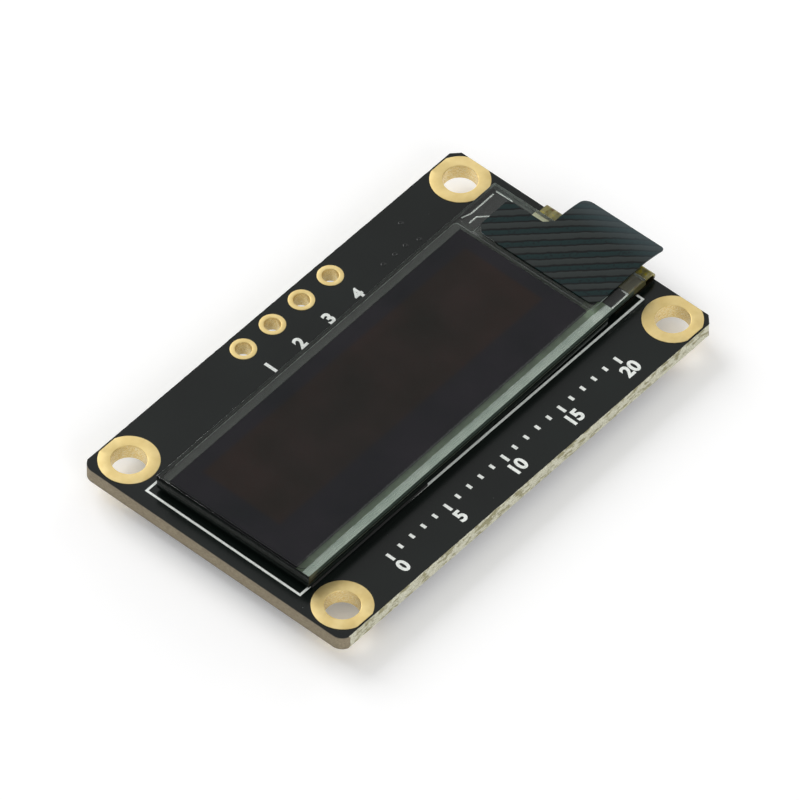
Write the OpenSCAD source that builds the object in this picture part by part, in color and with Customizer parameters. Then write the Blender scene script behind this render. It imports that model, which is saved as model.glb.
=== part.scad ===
// Small OLED display module: a thin glass panel taped to a black circuit board, with its
// folded flex cable, four plated mounting holes and a row of plated header holes.
// Frame: origin at the centre of the mounting-hole pattern on the board's underside, +X along
// the board towards the folded cable, +Y towards the header holes, +Z out of the display.

/* [Board] */
// Width of the strip of board on each side of the panel's mark, with the holes in it
strip_w = 4.15; // [3.8:0.05:6]
// Distance from the board's near short edge to the panel's mark
near_strip_w = 0.92; // [0.8:0.02:1.2]
// Distance from the panel's mark to the cable's short edge
far_strip_w = 1.56; // [1.4:0.02:3]
// Thickness of the finished laminate
board_t = 1.0; // [0.6:0.1:1.6]
// Radius of the two routed corners at the near short edge
near_corner_r = 0.8; // [0.2:0.05:1.2]
// Cut across the two corners at the cable's short edge
far_corner_cut = 0.55; // [0.2:0.05:0.8]
// Depth of the V-score along each long edge, measured from each face
score_depth = 0.28; // [0.1:0.01:0.3]
// Width that the V-score takes off each face
score_width = 0.05; // [0.04:0.01:0.2]
// Height of the copper and gold plating above the laminate
plating_t = 0.035; // [0.02:0.005:0.07]

/* [Mounting holes] */
// Finished radius of the plated mounting holes
hole_r = 1.06; // [0.8:0.02:1.2]
// Outer radius of the bare gold ring around each mounting hole
ring_r = 1.82; // [1.4:0.02:1.9]
// Distance from the hole centres to the near short edge
near_margin = 2.04; // [1.9:0.02:2.4]
// Distance from the hole centres to the cable's short edge
far_margin = 1.66; // [1.6:0.02:2.2]
// Distance from the hole centres to the long edges
side_margin = 1.875; // [1.7:0.005:2.2]
// Bare laminate left between a ring and the board's long edge
ring_side_setback = 0.13; // [0.01:0.01:0.2]
// Bare laminate left between a ring and the board's short edge
ring_end_setback = 0.03; // [0.01:0.01:0.2]

/* [Header holes] */
// Number of header holes
pin_count = 4; // [2:1:7]
// Distance between neighbouring header holes
pin_pitch = 2.54; // [2:0.01:2.54]
// Finished radius of a header hole
pin_hole_r = 0.5; // [0.35:0.01:0.55]
// Outer radius of a header pad
pin_pad_r = 0.8; // [0.65:0.01:0.95]
// Distance from the header holes to the long edge
pin_margin = 1.16; // [1:0.01:1.6]

/* [White print] */
// Thickness of the printed ink
print_t = 0.02; // [0.01:0.005:0.03]
// Width of a printed line
print_line = 0.2; // [0.15:0.01:0.3]
// Clearance between the outline's outer edge and the panel that it marks
print_gap = 0.13; // [0.05:0.01:0.2]
// Distance between neighbouring ticks of the printed scale
tick_pitch = 1; // [0.8:0.1:1]
// Length of a long tick
tick_l = 0.62; // [0.4:0.02:0.8]
// Length of a short tick
tick_short_l = 0.38; // [0.2:0.02:0.6]
// Width of a tick
tick_w = 0.2; // [0.1:0.01:0.25]
// Distance from the scale's baseline to the long edge
scale_margin = 2.5; // [2.2:0.02:2.8]

/* [Display panel] */
// Length of the display glass
glass_l = 30; // [29:0.1:30.4]
// Width of the display glass
glass_w = 11.5; // [11:0.1:12]
// Thickness of the front glass, which carries the pixels on its underside
front_glass_t = 0.5; // [0.4:0.05:0.7]
// Thickness of the rear glass, which closes the panel
rear_glass_t = 0.5; // [0.4:0.05:0.7]
// Length of the ledge that the front glass has past the rear one
ledge_l = 3.4; // [3.2:0.05:4]
// How far the panel was laid off its mark towards the cable
panel_slip = 0.44; // [0:0.02:0.5]
// How far the panel was laid off its mark away from the header holes
panel_drop = 0.1; // [0:0.02:0.2]
// How far the panel was laid out of square, in degrees
panel_skew = 0.65; // [0:0.05:1]
// Thickness of the double-sided tape under the panel
tape_t = 0.22; // [0.15:0.01:0.3]
// Distance from the tape's edge to the rear glass's edge
tape_inset = 1.0; // [0.5:0.1:2]

/* [Inside the panel] */
// Thickness of the glue line between the two glasses
seal_t = 0.02; // [0.01:0.005:0.03]
// Width of the glue line and of the rear glass's rim
seal_w = 0.9; // [0.6:0.05:1]
// Depth of the cavity in the rear glass
cavity_depth = 0.28; // [0.2:0.01:0.32]
// Thickness of the drying sheet in the cavity
dryer_t = 0.14; // [0.08:0.01:0.16]
// Distance from the drying sheet's edge to the cavity's wall
dryer_inset = 0.8; // [0.4:0.1:1.5]
// Distance from the light-emitting area to the ends of the rear glass
emitter_end_gap = 1.85; // [1.2:0.05:2.5]
// Distance from the light-emitting area to the rear glass's edge on the header side
emitter_far_gap = 2.05; // [1.8:0.05:2.6]
// Distance from the light-emitting area to the rear glass's edge on the other side
emitter_near_gap = 3.65; // [3:0.05:4]
// Thickness of the light-emitting layers with their cathode
emitter_t = 0.02; // [0.01:0.005:0.03]

/* [Films on the panel] */
// Thickness of the polarizer
polarizer_t = 0.2; // [0.12:0.01:0.25]
// Distance from the polarizer to the glass's near short edge
polarizer_margin = 0.05; // [0.02:0.01:0.2]
// Distance from the polarizer to the ledge
polarizer_end_gap = 0.85; // [0.6:0.05:1.2]
// Distance from the polarizer to the glass's long edges
polarizer_side = 0.95; // [0.7:0.05:1.3]
// Thickness of the clear protective film
film_t = 0.06; // [0.04:0.01:0.08]
// How far the protective film reaches past the polarizer's long sides
film_lap = 0.52; // [0.2:0.02:0.6]
// How far the film reaches past the polarizer before it slopes down to the ledge
film_step = 0.12; // [0.05:0.01:0.2]
// Length of the film's slope down to the ledge
film_slope = 0.36; // [0.2:0.02:0.5]
// Length of the film's tongue on the ledge, under the pull tab
film_tongue = 1.3; // [0.8:0.1:2]
// Radius of the film's corners
film_corner_r = 0.3; // [0.1:0.05:0.5]

/* [Pull tab] */
// Thickness of the tab's striped film
tab_t = 0.08; // [0.05:0.01:0.12]
// Distance along the ledge from the film's slope to the start of the tab
tab_start = 0.14; // [0.05:0.01:0.3]
// Length of the tab's wide part
tab_wide_l = 3.0; // [2.6:0.1:3.2]
// Width of the tab's wide part
tab_wide_w = 9.1; // [8:0.1:9.6]
// Length of the tab's narrow part
tab_narrow_l = 3.4; // [2:0.1:5]
// Width of the tab's narrow part
tab_narrow_w = 6.0; // [4:0.1:7]
// Distance from the tab's straight side to the glass's long edge
tab_side = 0.83; // [0.6:0.01:1.2]
// Radius to which the tab's free end curls down
tab_curl_r = 9.0; // [6:0.5:20]
// Radius of the tab's tip corner on the header side
tab_tip_r = 0.6; // [0.2:0.05:1]
// Radius of the tab's other tip corner
tab_corner_r = 0.28; // [0.1:0.02:0.5]
// Cut across the tab's corners where it starts and where it narrows
tab_cut = 0.5; // [0.2:0.05:0.7]

/* [Flex cable] */
// Width of the flex cable
cable_w = 8.1; // [7.8:0.1:8.6]
// Thickness of the flex cable
cable_t = 0.12; // [0.08:0.01:0.16]
// Distance from the cable's side to the glass's long edge
cable_side = 0.27; // [0.1:0.01:0.6]
// How far the cable reaches under the ledge
cable_bond_l = 1.3; // [1:0.05:1.6]
// How far the fold stands out past the glass
cable_reach = 1.2; // [0.7:0.02:1.3]
// Length of the lower run, from the outside of the fold to its soldered end
cable_run = 3.6; // [3:0.1:4]
// Number of soldered ways
cable_ways = 14; // [10:1:14]
// Distance between neighbouring ways
cable_pitch = 0.56; // [0.5:0.01:0.56]
// Width of a soldered way
cable_way_w = 0.3; // [0.2:0.01:0.32]
// Length of the solder pads on the board
cable_pad_l = 1.4; // [1:0.1:1.8]
// Length of the solder fillet past the cable's end
cable_fillet_l = 0.4; // [0.2:0.05:0.6]

/* [Ledge] */
// Length of the driver chip along Y
chip_l = 6.8; // [5:0.1:7.5]
// Width of the driver chip along X
chip_w = 0.86; // [0.7:0.02:1]
// Thickness of the driver chip
chip_t = 0.3; // [0.2:0.01:0.35]
// Distance from the rear glass to the driver chip
chip_gap = 0.55; // [0.3:0.05:0.7]
// Thickness of the bonding films under the chip and the cable
bond_t = 0.02; // [0.01:0.005:0.03]
// How far the chip's bonding film reaches past the chip
bond_lap = 0.1; // [0.05:0.01:0.12]
// Thickness of the metal tracks on the ledge
track_t = 0.01; // [0.005:0.005:0.015]
// Width of the metal tracks on the ledge
track_w = 0.1; // [0.08:0.01:0.14]
// Distance from the outermost track to the glass's long edge
track_side = 0.2; // [0.12:0.01:0.3]
// Length of the track along the glass's long edge
track_run = 1.8; // [1.2:0.1:2.1]
// Length of the tracks' bent ends
track_turn = 0.6; // [0.3:0.05:0.8]

/* [Parts on the back] */
// Length, width and height of a large capacitor
large_cap_l = 2.0; // [1.8:0.1:2.2]
large_cap_w = 1.25; // [1:0.05:1.4]
large_cap_h = 1.1; // [0.8:0.05:1.3]
// Length, width and height of a small capacitor
small_cap_l = 1.6; // [1.4:0.1:1.8]
small_cap_w = 0.8; // [0.6:0.05:1]
small_cap_h = 0.8; // [0.5:0.05:0.9]
// Length, width and height of a resistor
resistor_l = 1.6; // [1.4:0.1:1.8]
resistor_w = 0.8; // [0.6:0.05:1]
resistor_h = 0.45; // [0.3:0.05:0.6]
// Length of a chip part's metal end
chip_end_l = 0.36; // [0.2:0.02:0.5]
// Number of small capacitors in their row
small_cap_count = 4; // [2:1:4]
// Number of resistors in their row
resistor_count = 5; // [3:1:5]
// Distance between neighbouring parts in a row
part_pitch = 2.4; // [2:0.1:2.6]
// Distance from the rows of parts to the long edges
row_margin = 5.4; // [4.6:0.1:6]
// Distance from the board's middle to the parts at the ends of the rows
row_end = 9.2; // [8.6:0.1:10]
// Length of the regulator's moulded body
regulator_l = 2.9; // [2.7:0.1:3.1]
// Width of the regulator's moulded body
regulator_w = 1.3; // [1.2:0.05:1.5]
// Gap between the regulator's body and its pads
regulator_lift = 0.1; // [0.05:0.01:0.15]
// Distance between the regulator's two leads on one side
lead_spacing = 1.9; // [1.8:0.05:2]
// Width of a regulator lead
lead_w = 0.42; // [0.3:0.02:0.5]
// Thickness of a regulator lead
lead_t = 0.13; // [0.1:0.01:0.18]
// How far a lead's foot reaches out from the body
lead_reach = 0.55; // [0.4:0.05:0.7]

/* [Hidden] */
$fn = 48;
pad_end = 0.35;                    // copper pad past the end of a chip part
fillet_h = 0.3;                    // height of a solder fillet on a chip part
end_wrap = 0.02;                   // how far the metal ends stand proud of the ceramic
cut_extra = 1;                     // overshoot of a cutting solid

mark_l = glass_l + 2 * print_gap;  // outer size of the printed outline
mark_w = glass_w + 2 * print_gap;
board_l = near_strip_w + mark_l + far_strip_w;
board_w = mark_w + 2 * strip_w;
hole_x = (board_l - near_margin - far_margin) / 2;
near_x = -hole_x - near_margin;
far_x = hole_x + far_margin;
mid_x = (near_x + far_x) / 2;
side_y = board_w / 2;
hole_y = side_y - side_margin;
pin_y = side_y - pin_margin;
print_z = board_t;

mark_x = near_x + near_strip_w + mark_l / 2;
panel_x = mark_x + panel_slip;
rear_z = board_t + tape_t;
seal_z = rear_z + rear_glass_t;
front_z = seal_z + seal_t;
top_z = front_z + front_glass_t;
film_z = top_z + polarizer_t;

glass_x0 = -glass_l / 2;           // panel frame: middle of the glass is the origin
rear_glass_l = glass_l - ledge_l;
ledge_x = glass_x0 + rear_glass_l;
rear_mid = glass_x0 + rear_glass_l / 2;
polarizer_l = rear_glass_l - polarizer_margin - polarizer_end_gap;
polarizer_w = glass_w - 2 * polarizer_side;
polarizer_x1 = glass_x0 + polarizer_margin + polarizer_l;
slope_x0 = polarizer_x1 + film_step;
slope_x1 = slope_x0 + film_slope;
tab_x0 = slope_x1 + tab_start;
tab_x1 = tab_x0 + tab_wide_l;
tab_x2 = tab_x1 + tab_narrow_l;
tab_y0 = -glass_w / 2 + tab_side;
tab_z = top_z + film_t;

cable_y0 = -glass_w / 2 + cable_side;
cable_top = front_z - bond_t;
cable_low = board_t + plating_t;
cable_r = (cable_top - cable_low) / 2;
fold_x = glass_l / 2 + cable_reach - cable_r;
cable_x0 = glass_l / 2 - cable_bond_l;
cable_end = fold_x + cable_r - cable_run;
chip_x = ledge_x + chip_gap + chip_w / 2;

back_z = -plating_t;
regulator_h = large_cap_h - regulator_lift;
row_y = side_y - row_margin;
large_caps = [[mid_x + row_end, row_y], [mid_x - row_end, -row_y], [mid_x + row_end, -row_y]];
small_caps = [for (i = [0:small_cap_count - 1])
    [mid_x + (i - (small_cap_count - 1) / 2) * part_pitch, row_y]];
resistors = [for (i = [0:resistor_count - 1])
    [mid_x + (i - (resistor_count - 1) / 2) * part_pitch, -row_y]];
regulator_at = [mid_x - row_end, row_y];

MOUNTING_RINGS = [for (i = [1:4]) str("mounting_ring_", i)];
HEADER_RINGS = [for (i = [1:pin_count]) str("header_ring_", i)];
LARGE_CAPS = [for (i = [1:len(large_caps)]) str("large_capacitor_", i)];
SMALL_CAPS = [for (i = [1:small_cap_count]) str("small_capacitor_", i)];
RESISTORS = [for (i = [1:resistor_count]) str("resistor_", i)];

// Points of a quarter or half circle, from angle a0 to a1
function arc(cx, cy, r, a0, a1, steps = 8) =
    [for (i = [0:steps]) let (a = a0 + (a1 - a0) * i / steps) [cx + r * cos(a), cy + r * sin(a)]];

// Places the panel's own frame on the board: laid off its mark and a little out of square
module on_panel() {
    translate([panel_x, -panel_drop, 0]) rotate([0, 0, panel_skew]) children();
}

// Box from one corner, by its size
module block(corner, size) {
    translate(corner) cube(size);
}

// ---- Board --------------------------------------------------------------------------------

module board_outline() {
    polygon(concat(
        arc(near_x + near_corner_r, -side_y + near_corner_r, near_corner_r, 180, 270),
        [[far_x - far_corner_cut, -side_y], [far_x, -side_y + far_corner_cut]],
        [[far_x, side_y - far_corner_cut], [far_x - far_corner_cut, side_y]],
        arc(near_x + near_corner_r, side_y - near_corner_r, near_corner_r, 90, 180)));
}

// Cross-section with a V-score taken off both faces along both long edges
module board_section() {
    mid_t = board_t - score_depth;
    polygon([
        [-side_y + score_width, 0], [side_y - score_width, 0], [side_y, score_depth],
        [side_y, mid_t], [side_y - score_width, board_t], [-side_y + score_width, board_t],
        [-side_y, mid_t], [-side_y, score_depth]]);
}

module printed_board() {
    color("#202524") difference() {
        intersection() {
            linear_extrude(board_t) board_outline();
            translate([near_x - cut_extra, 0, 0]) rotate([90, 0, 90])
                linear_extrude(board_l + 2 * cut_extra) board_section();
        }
        for (sx = [-1, 1], sy = [-1, 1])
            translate([sx * hole_x, sy * hole_y, -cut_extra])
                cylinder(r = hole_r + plating_t, h = board_t + 2 * cut_extra);
        for (i = [1:pin_count])
            translate([pin_x(i), pin_y, -cut_extra])
                cylinder(r = pin_hole_r + plating_t, h = board_t + 2 * cut_extra);
    }
}

// Plated barrel through the board, with a flat ring on each face
module plated_hole(bore_r, flange_r) {
    rotate_extrude() polygon([
        [bore_r, -plating_t], [flange_r, -plating_t], [flange_r, 0], [bore_r + plating_t, 0],
        [bore_r + plating_t, board_t], [flange_r, board_t], [flange_r, board_t + plating_t],
        [bore_r, board_t + plating_t]]);
}

// The rings stop just short of the board's cut edges
module mounting_ring(i) {
    sx = i % 2 == 1 ? -1 : 1;
    sy = i <= 2 ? -1 : 1;
    ring_y = side_y - score_width - ring_side_setback;
    color("#d8be7c") intersection() {
        translate([sx * hole_x, sy * hole_y, 0]) plated_hole(hole_r, ring_r);
        block([near_x + ring_end_setback, -ring_y, -cut_extra],
              [board_l - 2 * ring_end_setback, 2 * ring_y, board_t + 2 * cut_extra]);
    }
}

function pin_x(i) = (i - (pin_count + 1) / 2) * pin_pitch;

module header_ring(i) {
    color("#d8be7c") translate([pin_x(i), pin_y, 0]) plated_hole(pin_hole_r, pin_pad_r);
}

// ---- White print --------------------------------------------------------------------------

// Rectangle that marks the panel's place
module panel_outline_print() {
    color("#e4ebe4") translate([mark_x, 0, print_z]) linear_extrude(print_t) difference() {
        square([mark_l, mark_w], center = true);
        square([mark_l - 2 * print_line, mark_w - 2 * print_line], center = true);
    }
}

// Ticks of a plain millimetre scale, every fifth one longer
module scale_print() {
    color("#e4ebe4") for (i = [-10:10]) {
        l = i % 5 == 0 ? tick_l : tick_short_l;
        block([i * tick_pitch - tick_w / 2, -side_y + scale_margin - l, print_z],
              [tick_w, l, print_t]);
    }
}

// ---- Display panel ------------------------------------------------------------------------

module mounting_tape() {
    color("#2c2c2a") on_panel()
        block([glass_x0 + tape_inset, -glass_w / 2 + tape_inset, board_t],
              [rear_glass_l - 2 * tape_inset, glass_w - 2 * tape_inset, tape_t]);
}

// Rear glass, with a cavity that faces the light-emitting layers
module rear_glass() {
    color("#9fb0a6", 0.5) on_panel() difference() {
        block([glass_x0, -glass_w / 2, rear_z], [rear_glass_l, glass_w, rear_glass_t]);
        block([glass_x0 + seal_w, -glass_w / 2 + seal_w, seal_z - cavity_depth],
              [rear_glass_l - 2 * seal_w, glass_w - 2 * seal_w, cavity_depth + cut_extra]);
    }
}

module drying_sheet() {
    inset = seal_w + dryer_inset;
    color("#d9d9d2") on_panel()
        block([glass_x0 + inset, -glass_w / 2 + inset, seal_z - cavity_depth],
              [rear_glass_l - 2 * inset, glass_w - 2 * inset, dryer_t]);
}

module panel_seal() {
    color("#aebcab") on_panel() translate([rear_mid, 0, seal_z]) linear_extrude(seal_t)
        difference() {
            square([rear_glass_l, glass_w], center = true);
            square([rear_glass_l - 2 * seal_w, glass_w - 2 * seal_w], center = true);
        }
}

module emitter_layers() {
    color("#4a3c3a") on_panel()
        block([glass_x0 + emitter_end_gap, -glass_w / 2 + emitter_near_gap, front_z - emitter_t],
              [rear_glass_l - 2 * emitter_end_gap, glass_w - emitter_near_gap - emitter_far_gap,
               emitter_t]);
}

module front_glass() {
    color("#b8c8bd", 0.5) on_panel()
        block([glass_x0, -glass_w / 2, front_z], [glass_l, glass_w, front_glass_t]);
}

// Line of metal between two points on the underside of the ledge, with round ends
module track(from, to) {
    run = to - from;
    translate([from.x, from.y, front_z - track_t]) {
        rotate([0, 0, atan2(run.y, run.x)])
            block([0, -track_w / 2, 0], [norm(run), track_w, track_t]);
        cylinder(r = track_w / 2, h = track_t);
        translate([run.x, run.y, 0]) cylinder(r = track_w / 2, h = track_t);
    }
}

// Guard tracks that run round the two outer corners of the ledge
module ledge_tracks() {
    start_x = ledge_x + track_side;
    near_y = -glass_w / 2 + track_side;
    far_y = glass_w / 2 - 2 * track_side;
    inner_y = far_y - 2 * track_side;
    bend_x = start_x + track_run / 3;
    end_x = glass_l / 2 - 1.5 * track_side;
    color("#d5d8d0") on_panel() {
        track([start_x, near_y], [start_x + track_run, near_y]);
        track([start_x + track_run, near_y], [start_x + track_run, near_y + track_turn]);
        track([start_x, inner_y], [bend_x, inner_y]);
        track([bend_x, inner_y], [bend_x + track_turn, inner_y - track_turn]);
        track([start_x, far_y + track_side], [bend_x, far_y]);
        track([bend_x, far_y], [end_x - 1.5 * track_side, far_y]);
        track([end_x, far_y], [end_x, far_y - 2 * track_turn]);
    }
}

module chip_bond() {
    color("#8f8a78") on_panel()
        block([chip_x - chip_w / 2 - bond_lap, -chip_l / 2 - bond_lap, front_z - bond_t],
              [chip_w + 2 * bond_lap, chip_l + 2 * bond_lap, bond_t]);
}

module driver_chip() {
    color("#3b3d44") on_panel()
        block([chip_x - chip_w / 2, -chip_l / 2, front_z - bond_t - chip_t],
              [chip_w, chip_l, chip_t]);
}

// ---- Films on the panel -------------------------------------------------------------------

module polarizer() {
    color("#2b2727") on_panel()
        block([glass_x0 + polarizer_margin, -polarizer_w / 2, top_z],
              [polarizer_l, polarizer_w, polarizer_t]);
}

// Side view of the film: flat on the polarizer, down a slope, and flat on the ledge
module film_section() {
    tongue_x = slope_x1 + film_tongue;
    start_x = glass_x0;
    polygon([
        [start_x, film_z], [slope_x0, film_z], [slope_x1, top_z], [tongue_x, top_z],
        [tongue_x, top_z + film_t], [slope_x1 + film_t / 2, top_z + film_t],
        [slope_x0 + film_t / 2, film_z + film_t], [start_x, film_z + film_t]]);
}

// Plan of the film: a sheet with round corners, and a narrower tongue that carries the tab
module film_plan() {
    half_w = polarizer_w / 2 + film_lap;
    end_x = slope_x0 + film_step;
    r = film_corner_r;
    polygon(concat(
        arc(glass_x0 + r, -half_w + r, r, 180, 270),
        arc(end_x - r, -half_w + r, r, 270, 360),
        [[end_x, tab_y0], [slope_x1 + film_tongue, tab_y0]],
        [[slope_x1 + film_tongue, tab_y0 + tab_wide_w], [end_x, tab_y0 + tab_wide_w]],
        arc(end_x - r, half_w - r, r, 0, 90),
        arc(glass_x0 + r, half_w - r, r, 90, 180)));
}

module protective_film() {
    color("#c4ccc6", 0.35) on_panel() intersection() {
        translate([0, glass_w / 2, 0]) rotate([90, 0, 0])
            linear_extrude(glass_w) film_section();
        linear_extrude(film_z + cut_extra) film_plan();
    }
}

// Side view of the tab: flat over the ledge, then curling down past the glass
module tab_section() {
    flat_x = glass_l / 2;
    curl = 2 * asin((tab_x2 - flat_x) / 2 / tab_curl_r);
    zc = tab_z - tab_curl_r;
    polygon(concat(
        [[tab_x0, tab_z]],
        arc(flat_x, zc, tab_curl_r, 90, 90 - curl, 12),
        arc(flat_x, zc, tab_curl_r + tab_t, 90 - curl, 90, 12),
        [[tab_x0, tab_z + tab_t]]));
}

module tab_plan() {
    wide_y = tab_y0 + tab_wide_w;
    narrow_y = tab_y0 + tab_narrow_w;
    polygon(concat(
        [[tab_x0, wide_y - tab_cut], [tab_x0, tab_y0 + tab_cut], [tab_x0 + tab_cut, tab_y0]],
        arc(tab_x2 - tab_corner_r, tab_y0 + tab_corner_r, tab_corner_r, 270, 360),
        arc(tab_x2 - tab_tip_r, narrow_y - tab_tip_r, tab_tip_r, 0, 90),
        [[tab_x1 + tab_cut, narrow_y], [tab_x1, narrow_y + tab_cut], [tab_x1, wide_y]],
        [[tab_x0 + tab_cut, wide_y]]));
}

module pull_tab() {
    color("#5f6e6b") on_panel() intersection() {
        translate([0, glass_w / 2, 0]) rotate([90, 0, 0])
            linear_extrude(glass_w) tab_section();
        linear_extrude(tab_z + cut_extra) tab_plan();
    }
}

// ---- Flex cable ---------------------------------------------------------------------------

// Side view of the cable: bonded under the ledge, folded round, soldered to the board
module cable_section() {
    translate([cable_x0, cable_top - cable_t]) square([fold_x - cable_x0, cable_t]);
    translate([cable_end, cable_low]) square([fold_x - cable_end, cable_t]);
    translate([fold_x, cable_low + cable_r]) intersection() {
        difference() {
            circle(r = cable_r);
            circle(r = cable_r - cable_t);
        }
        translate([0, -cable_r]) square([cable_r, 2 * cable_r]);
    }
}

module flex_cable() {
    color("#b98a3c") on_panel() translate([0, cable_y0 + cable_w, 0]) rotate([90, 0, 0])
        linear_extrude(cable_w) cable_section();
}

module cable_bond() {
    color("#8f8a78") on_panel()
        block([cable_x0, cable_y0, front_z - bond_t], [cable_bond_l, cable_w, bond_t]);
}

// Repeats its child once for each soldered way of the cable
module each_way() {
    for (i = [0:cable_ways - 1])
        translate([0, cable_y0 + cable_w / 2 + (i - (cable_ways - 1) / 2) * cable_pitch, 0])
            children();
}

module cable_pads() {
    color("#d8be7c") on_panel() each_way()
        block([cable_end - cable_fillet_l, -cable_way_w / 2, board_t],
              [cable_pad_l, cable_way_w, plating_t]);
}

module cable_solder() {
    color("#c9cbc8") on_panel() each_way()
        translate([cable_end, cable_way_w / 2, cable_low]) rotate([90, 0, 0])
            linear_extrude(cable_way_w)
                polygon([[0, 0], [0, cable_t], [-cable_fillet_l * 0.9, 0]]);
}

// ---- Parts on the back --------------------------------------------------------------------

// Ceramic chip with a metal cap at each end, hanging below the pads
module chip_part(l, w, h, tone) {
    color(tone) translate([0, 0, back_z - h / 2]) {
        cube([l - 2 * end_wrap, w - 2 * end_wrap, h - 2 * end_wrap], center = true);
        for (s = [-1, 1])
            translate([s * (l - chip_end_l) / 2, 0, 0])
                cube([chip_end_l, w, h], center = true);
    }
}

module pad_pair(l, w) {
    for (s = [-1, 1])
        translate([s * (l + pad_end - chip_end_l) / 2, 0, back_z / 2])
            cube([chip_end_l + pad_end, w, plating_t], center = true);
}

// A wedge of solder at each end of a chip part, wide side on the pad
module solder_pair(l, w) {
    for (s = [0, 1]) mirror([s, 0, 0])
        translate([l / 2, w / 2, back_z]) rotate([90, 0, 0]) linear_extrude(w)
            polygon([[0, 0], [pad_end * 0.9, 0], [0, -fillet_h]]);
}

module at_part(place, turn = 90) {
    translate([place.x, place.y, 0]) rotate([0, 0, turn]) children();
}

module large_capacitor(i) {
    at_part(large_caps[i - 1], 0) chip_part(large_cap_l, large_cap_w, large_cap_h, "#a98a64");
}

module small_capacitor(i) {
    at_part(small_caps[i - 1]) chip_part(small_cap_l, small_cap_w, small_cap_h, "#b39468");
}

module resistor(i) {
    at_part(resistors[i - 1]) chip_part(resistor_l, resistor_w, resistor_h, "#1c1c1e");
}

module regulator_body() {
    taper = 0.06;                  // draft of the moulded body on each side
    l = regulator_l - 2 * taper;
    mid_h = regulator_h / 2;
    color("#242424") at_part(regulator_at, 0)
        translate([-l / 2, 0, back_z - regulator_lift]) rotate([90, 0, 90])
            linear_extrude(l)
                polygon([
                    [-regulator_w / 2 + taper, 0], [regulator_w / 2 - taper, 0],
                    [regulator_w / 2, -mid_h], [regulator_w / 2 - taper, -regulator_h],
                    [-regulator_w / 2 + taper, -regulator_h], [-regulator_w / 2, -mid_h]]);
}

// Gull-wing lead: out of the body's middle, down, and out along the pad
module lead() {
    mid_z = back_z - regulator_lift - regulator_h / 2;
    y0 = regulator_w / 2;
    knee_y = y0 + lead_reach / 2;
    translate([-lead_w / 2, 0, 0]) rotate([90, 0, 90]) linear_extrude(lead_w)
        polygon([
            [y0, mid_z - lead_t / 2], [knee_y, mid_z - lead_t / 2],
            [knee_y, back_z - lead_t], [y0 + lead_reach, back_z - lead_t],
            [y0 + lead_reach, back_z], [knee_y - lead_t, back_z],
            [knee_y - lead_t, mid_z + lead_t / 2], [y0, mid_z + lead_t / 2]]);
}

// Two leads on one side of the regulator and one on the other
module each_lead() {
    for (s = [-1, 1]) translate([s * lead_spacing / 2, 0, 0]) children();
    rotate([0, 0, 180]) children();
}

module regulator_leads() {
    color("#c9cbc8") at_part(regulator_at, 0) each_lead() lead();
}

module part_pads() {
    foot_y = regulator_w / 2 + lead_reach / 2 - lead_t;
    pad_over = 0.15;
    color("#c9cbc8") {
        for (p = large_caps) at_part(p, 0) pad_pair(large_cap_l, large_cap_w);
        for (p = small_caps) at_part(p) pad_pair(small_cap_l, small_cap_w);
        for (p = resistors) at_part(p) pad_pair(resistor_l, resistor_w);
        at_part(regulator_at, 0) each_lead()
            block([-lead_w / 2 - pad_over, foot_y, back_z],
                  [lead_w + 2 * pad_over, lead_reach + pad_over, plating_t]);
    }
}

module part_solder() {
    color("#c9cbc8") {
        for (p = large_caps) at_part(p, 0) solder_pair(large_cap_l, large_cap_w);
        for (p = small_caps) at_part(p) solder_pair(small_cap_l, small_cap_w);
        for (p = resistors) at_part(p) solder_pair(resistor_l, resistor_w);
    }
}

// ---- Drawing ------------------------------------------------------------------------------

printed_board();
for (i = [1:4])
    mounting_ring(i);
for (i = [1:pin_count])
    header_ring(i);
panel_outline_print();
scale_print();
mounting_tape();
rear_glass();
drying_sheet();
panel_seal();
emitter_layers();
ledge_tracks();
chip_bond();
driver_chip();
cable_bond();
front_glass();
polarizer();
protective_film();
pull_tab();
flex_cable();
cable_pads();
cable_solder();
for (i = [1:len(large_caps)])
    large_capacitor(i);
for (i = [1:small_cap_count])
    small_capacitor(i);
for (i = [1:resistor_count])
    resistor(i);
regulator_body();
regulator_leads();
part_pads();
part_solder();
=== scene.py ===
"""Small OLED display module: a glass panel taped to a black circuit board, with its flex cable."""

import math

import bmesh
import bpy
from mathutils import Matrix, Vector, noise


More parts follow.
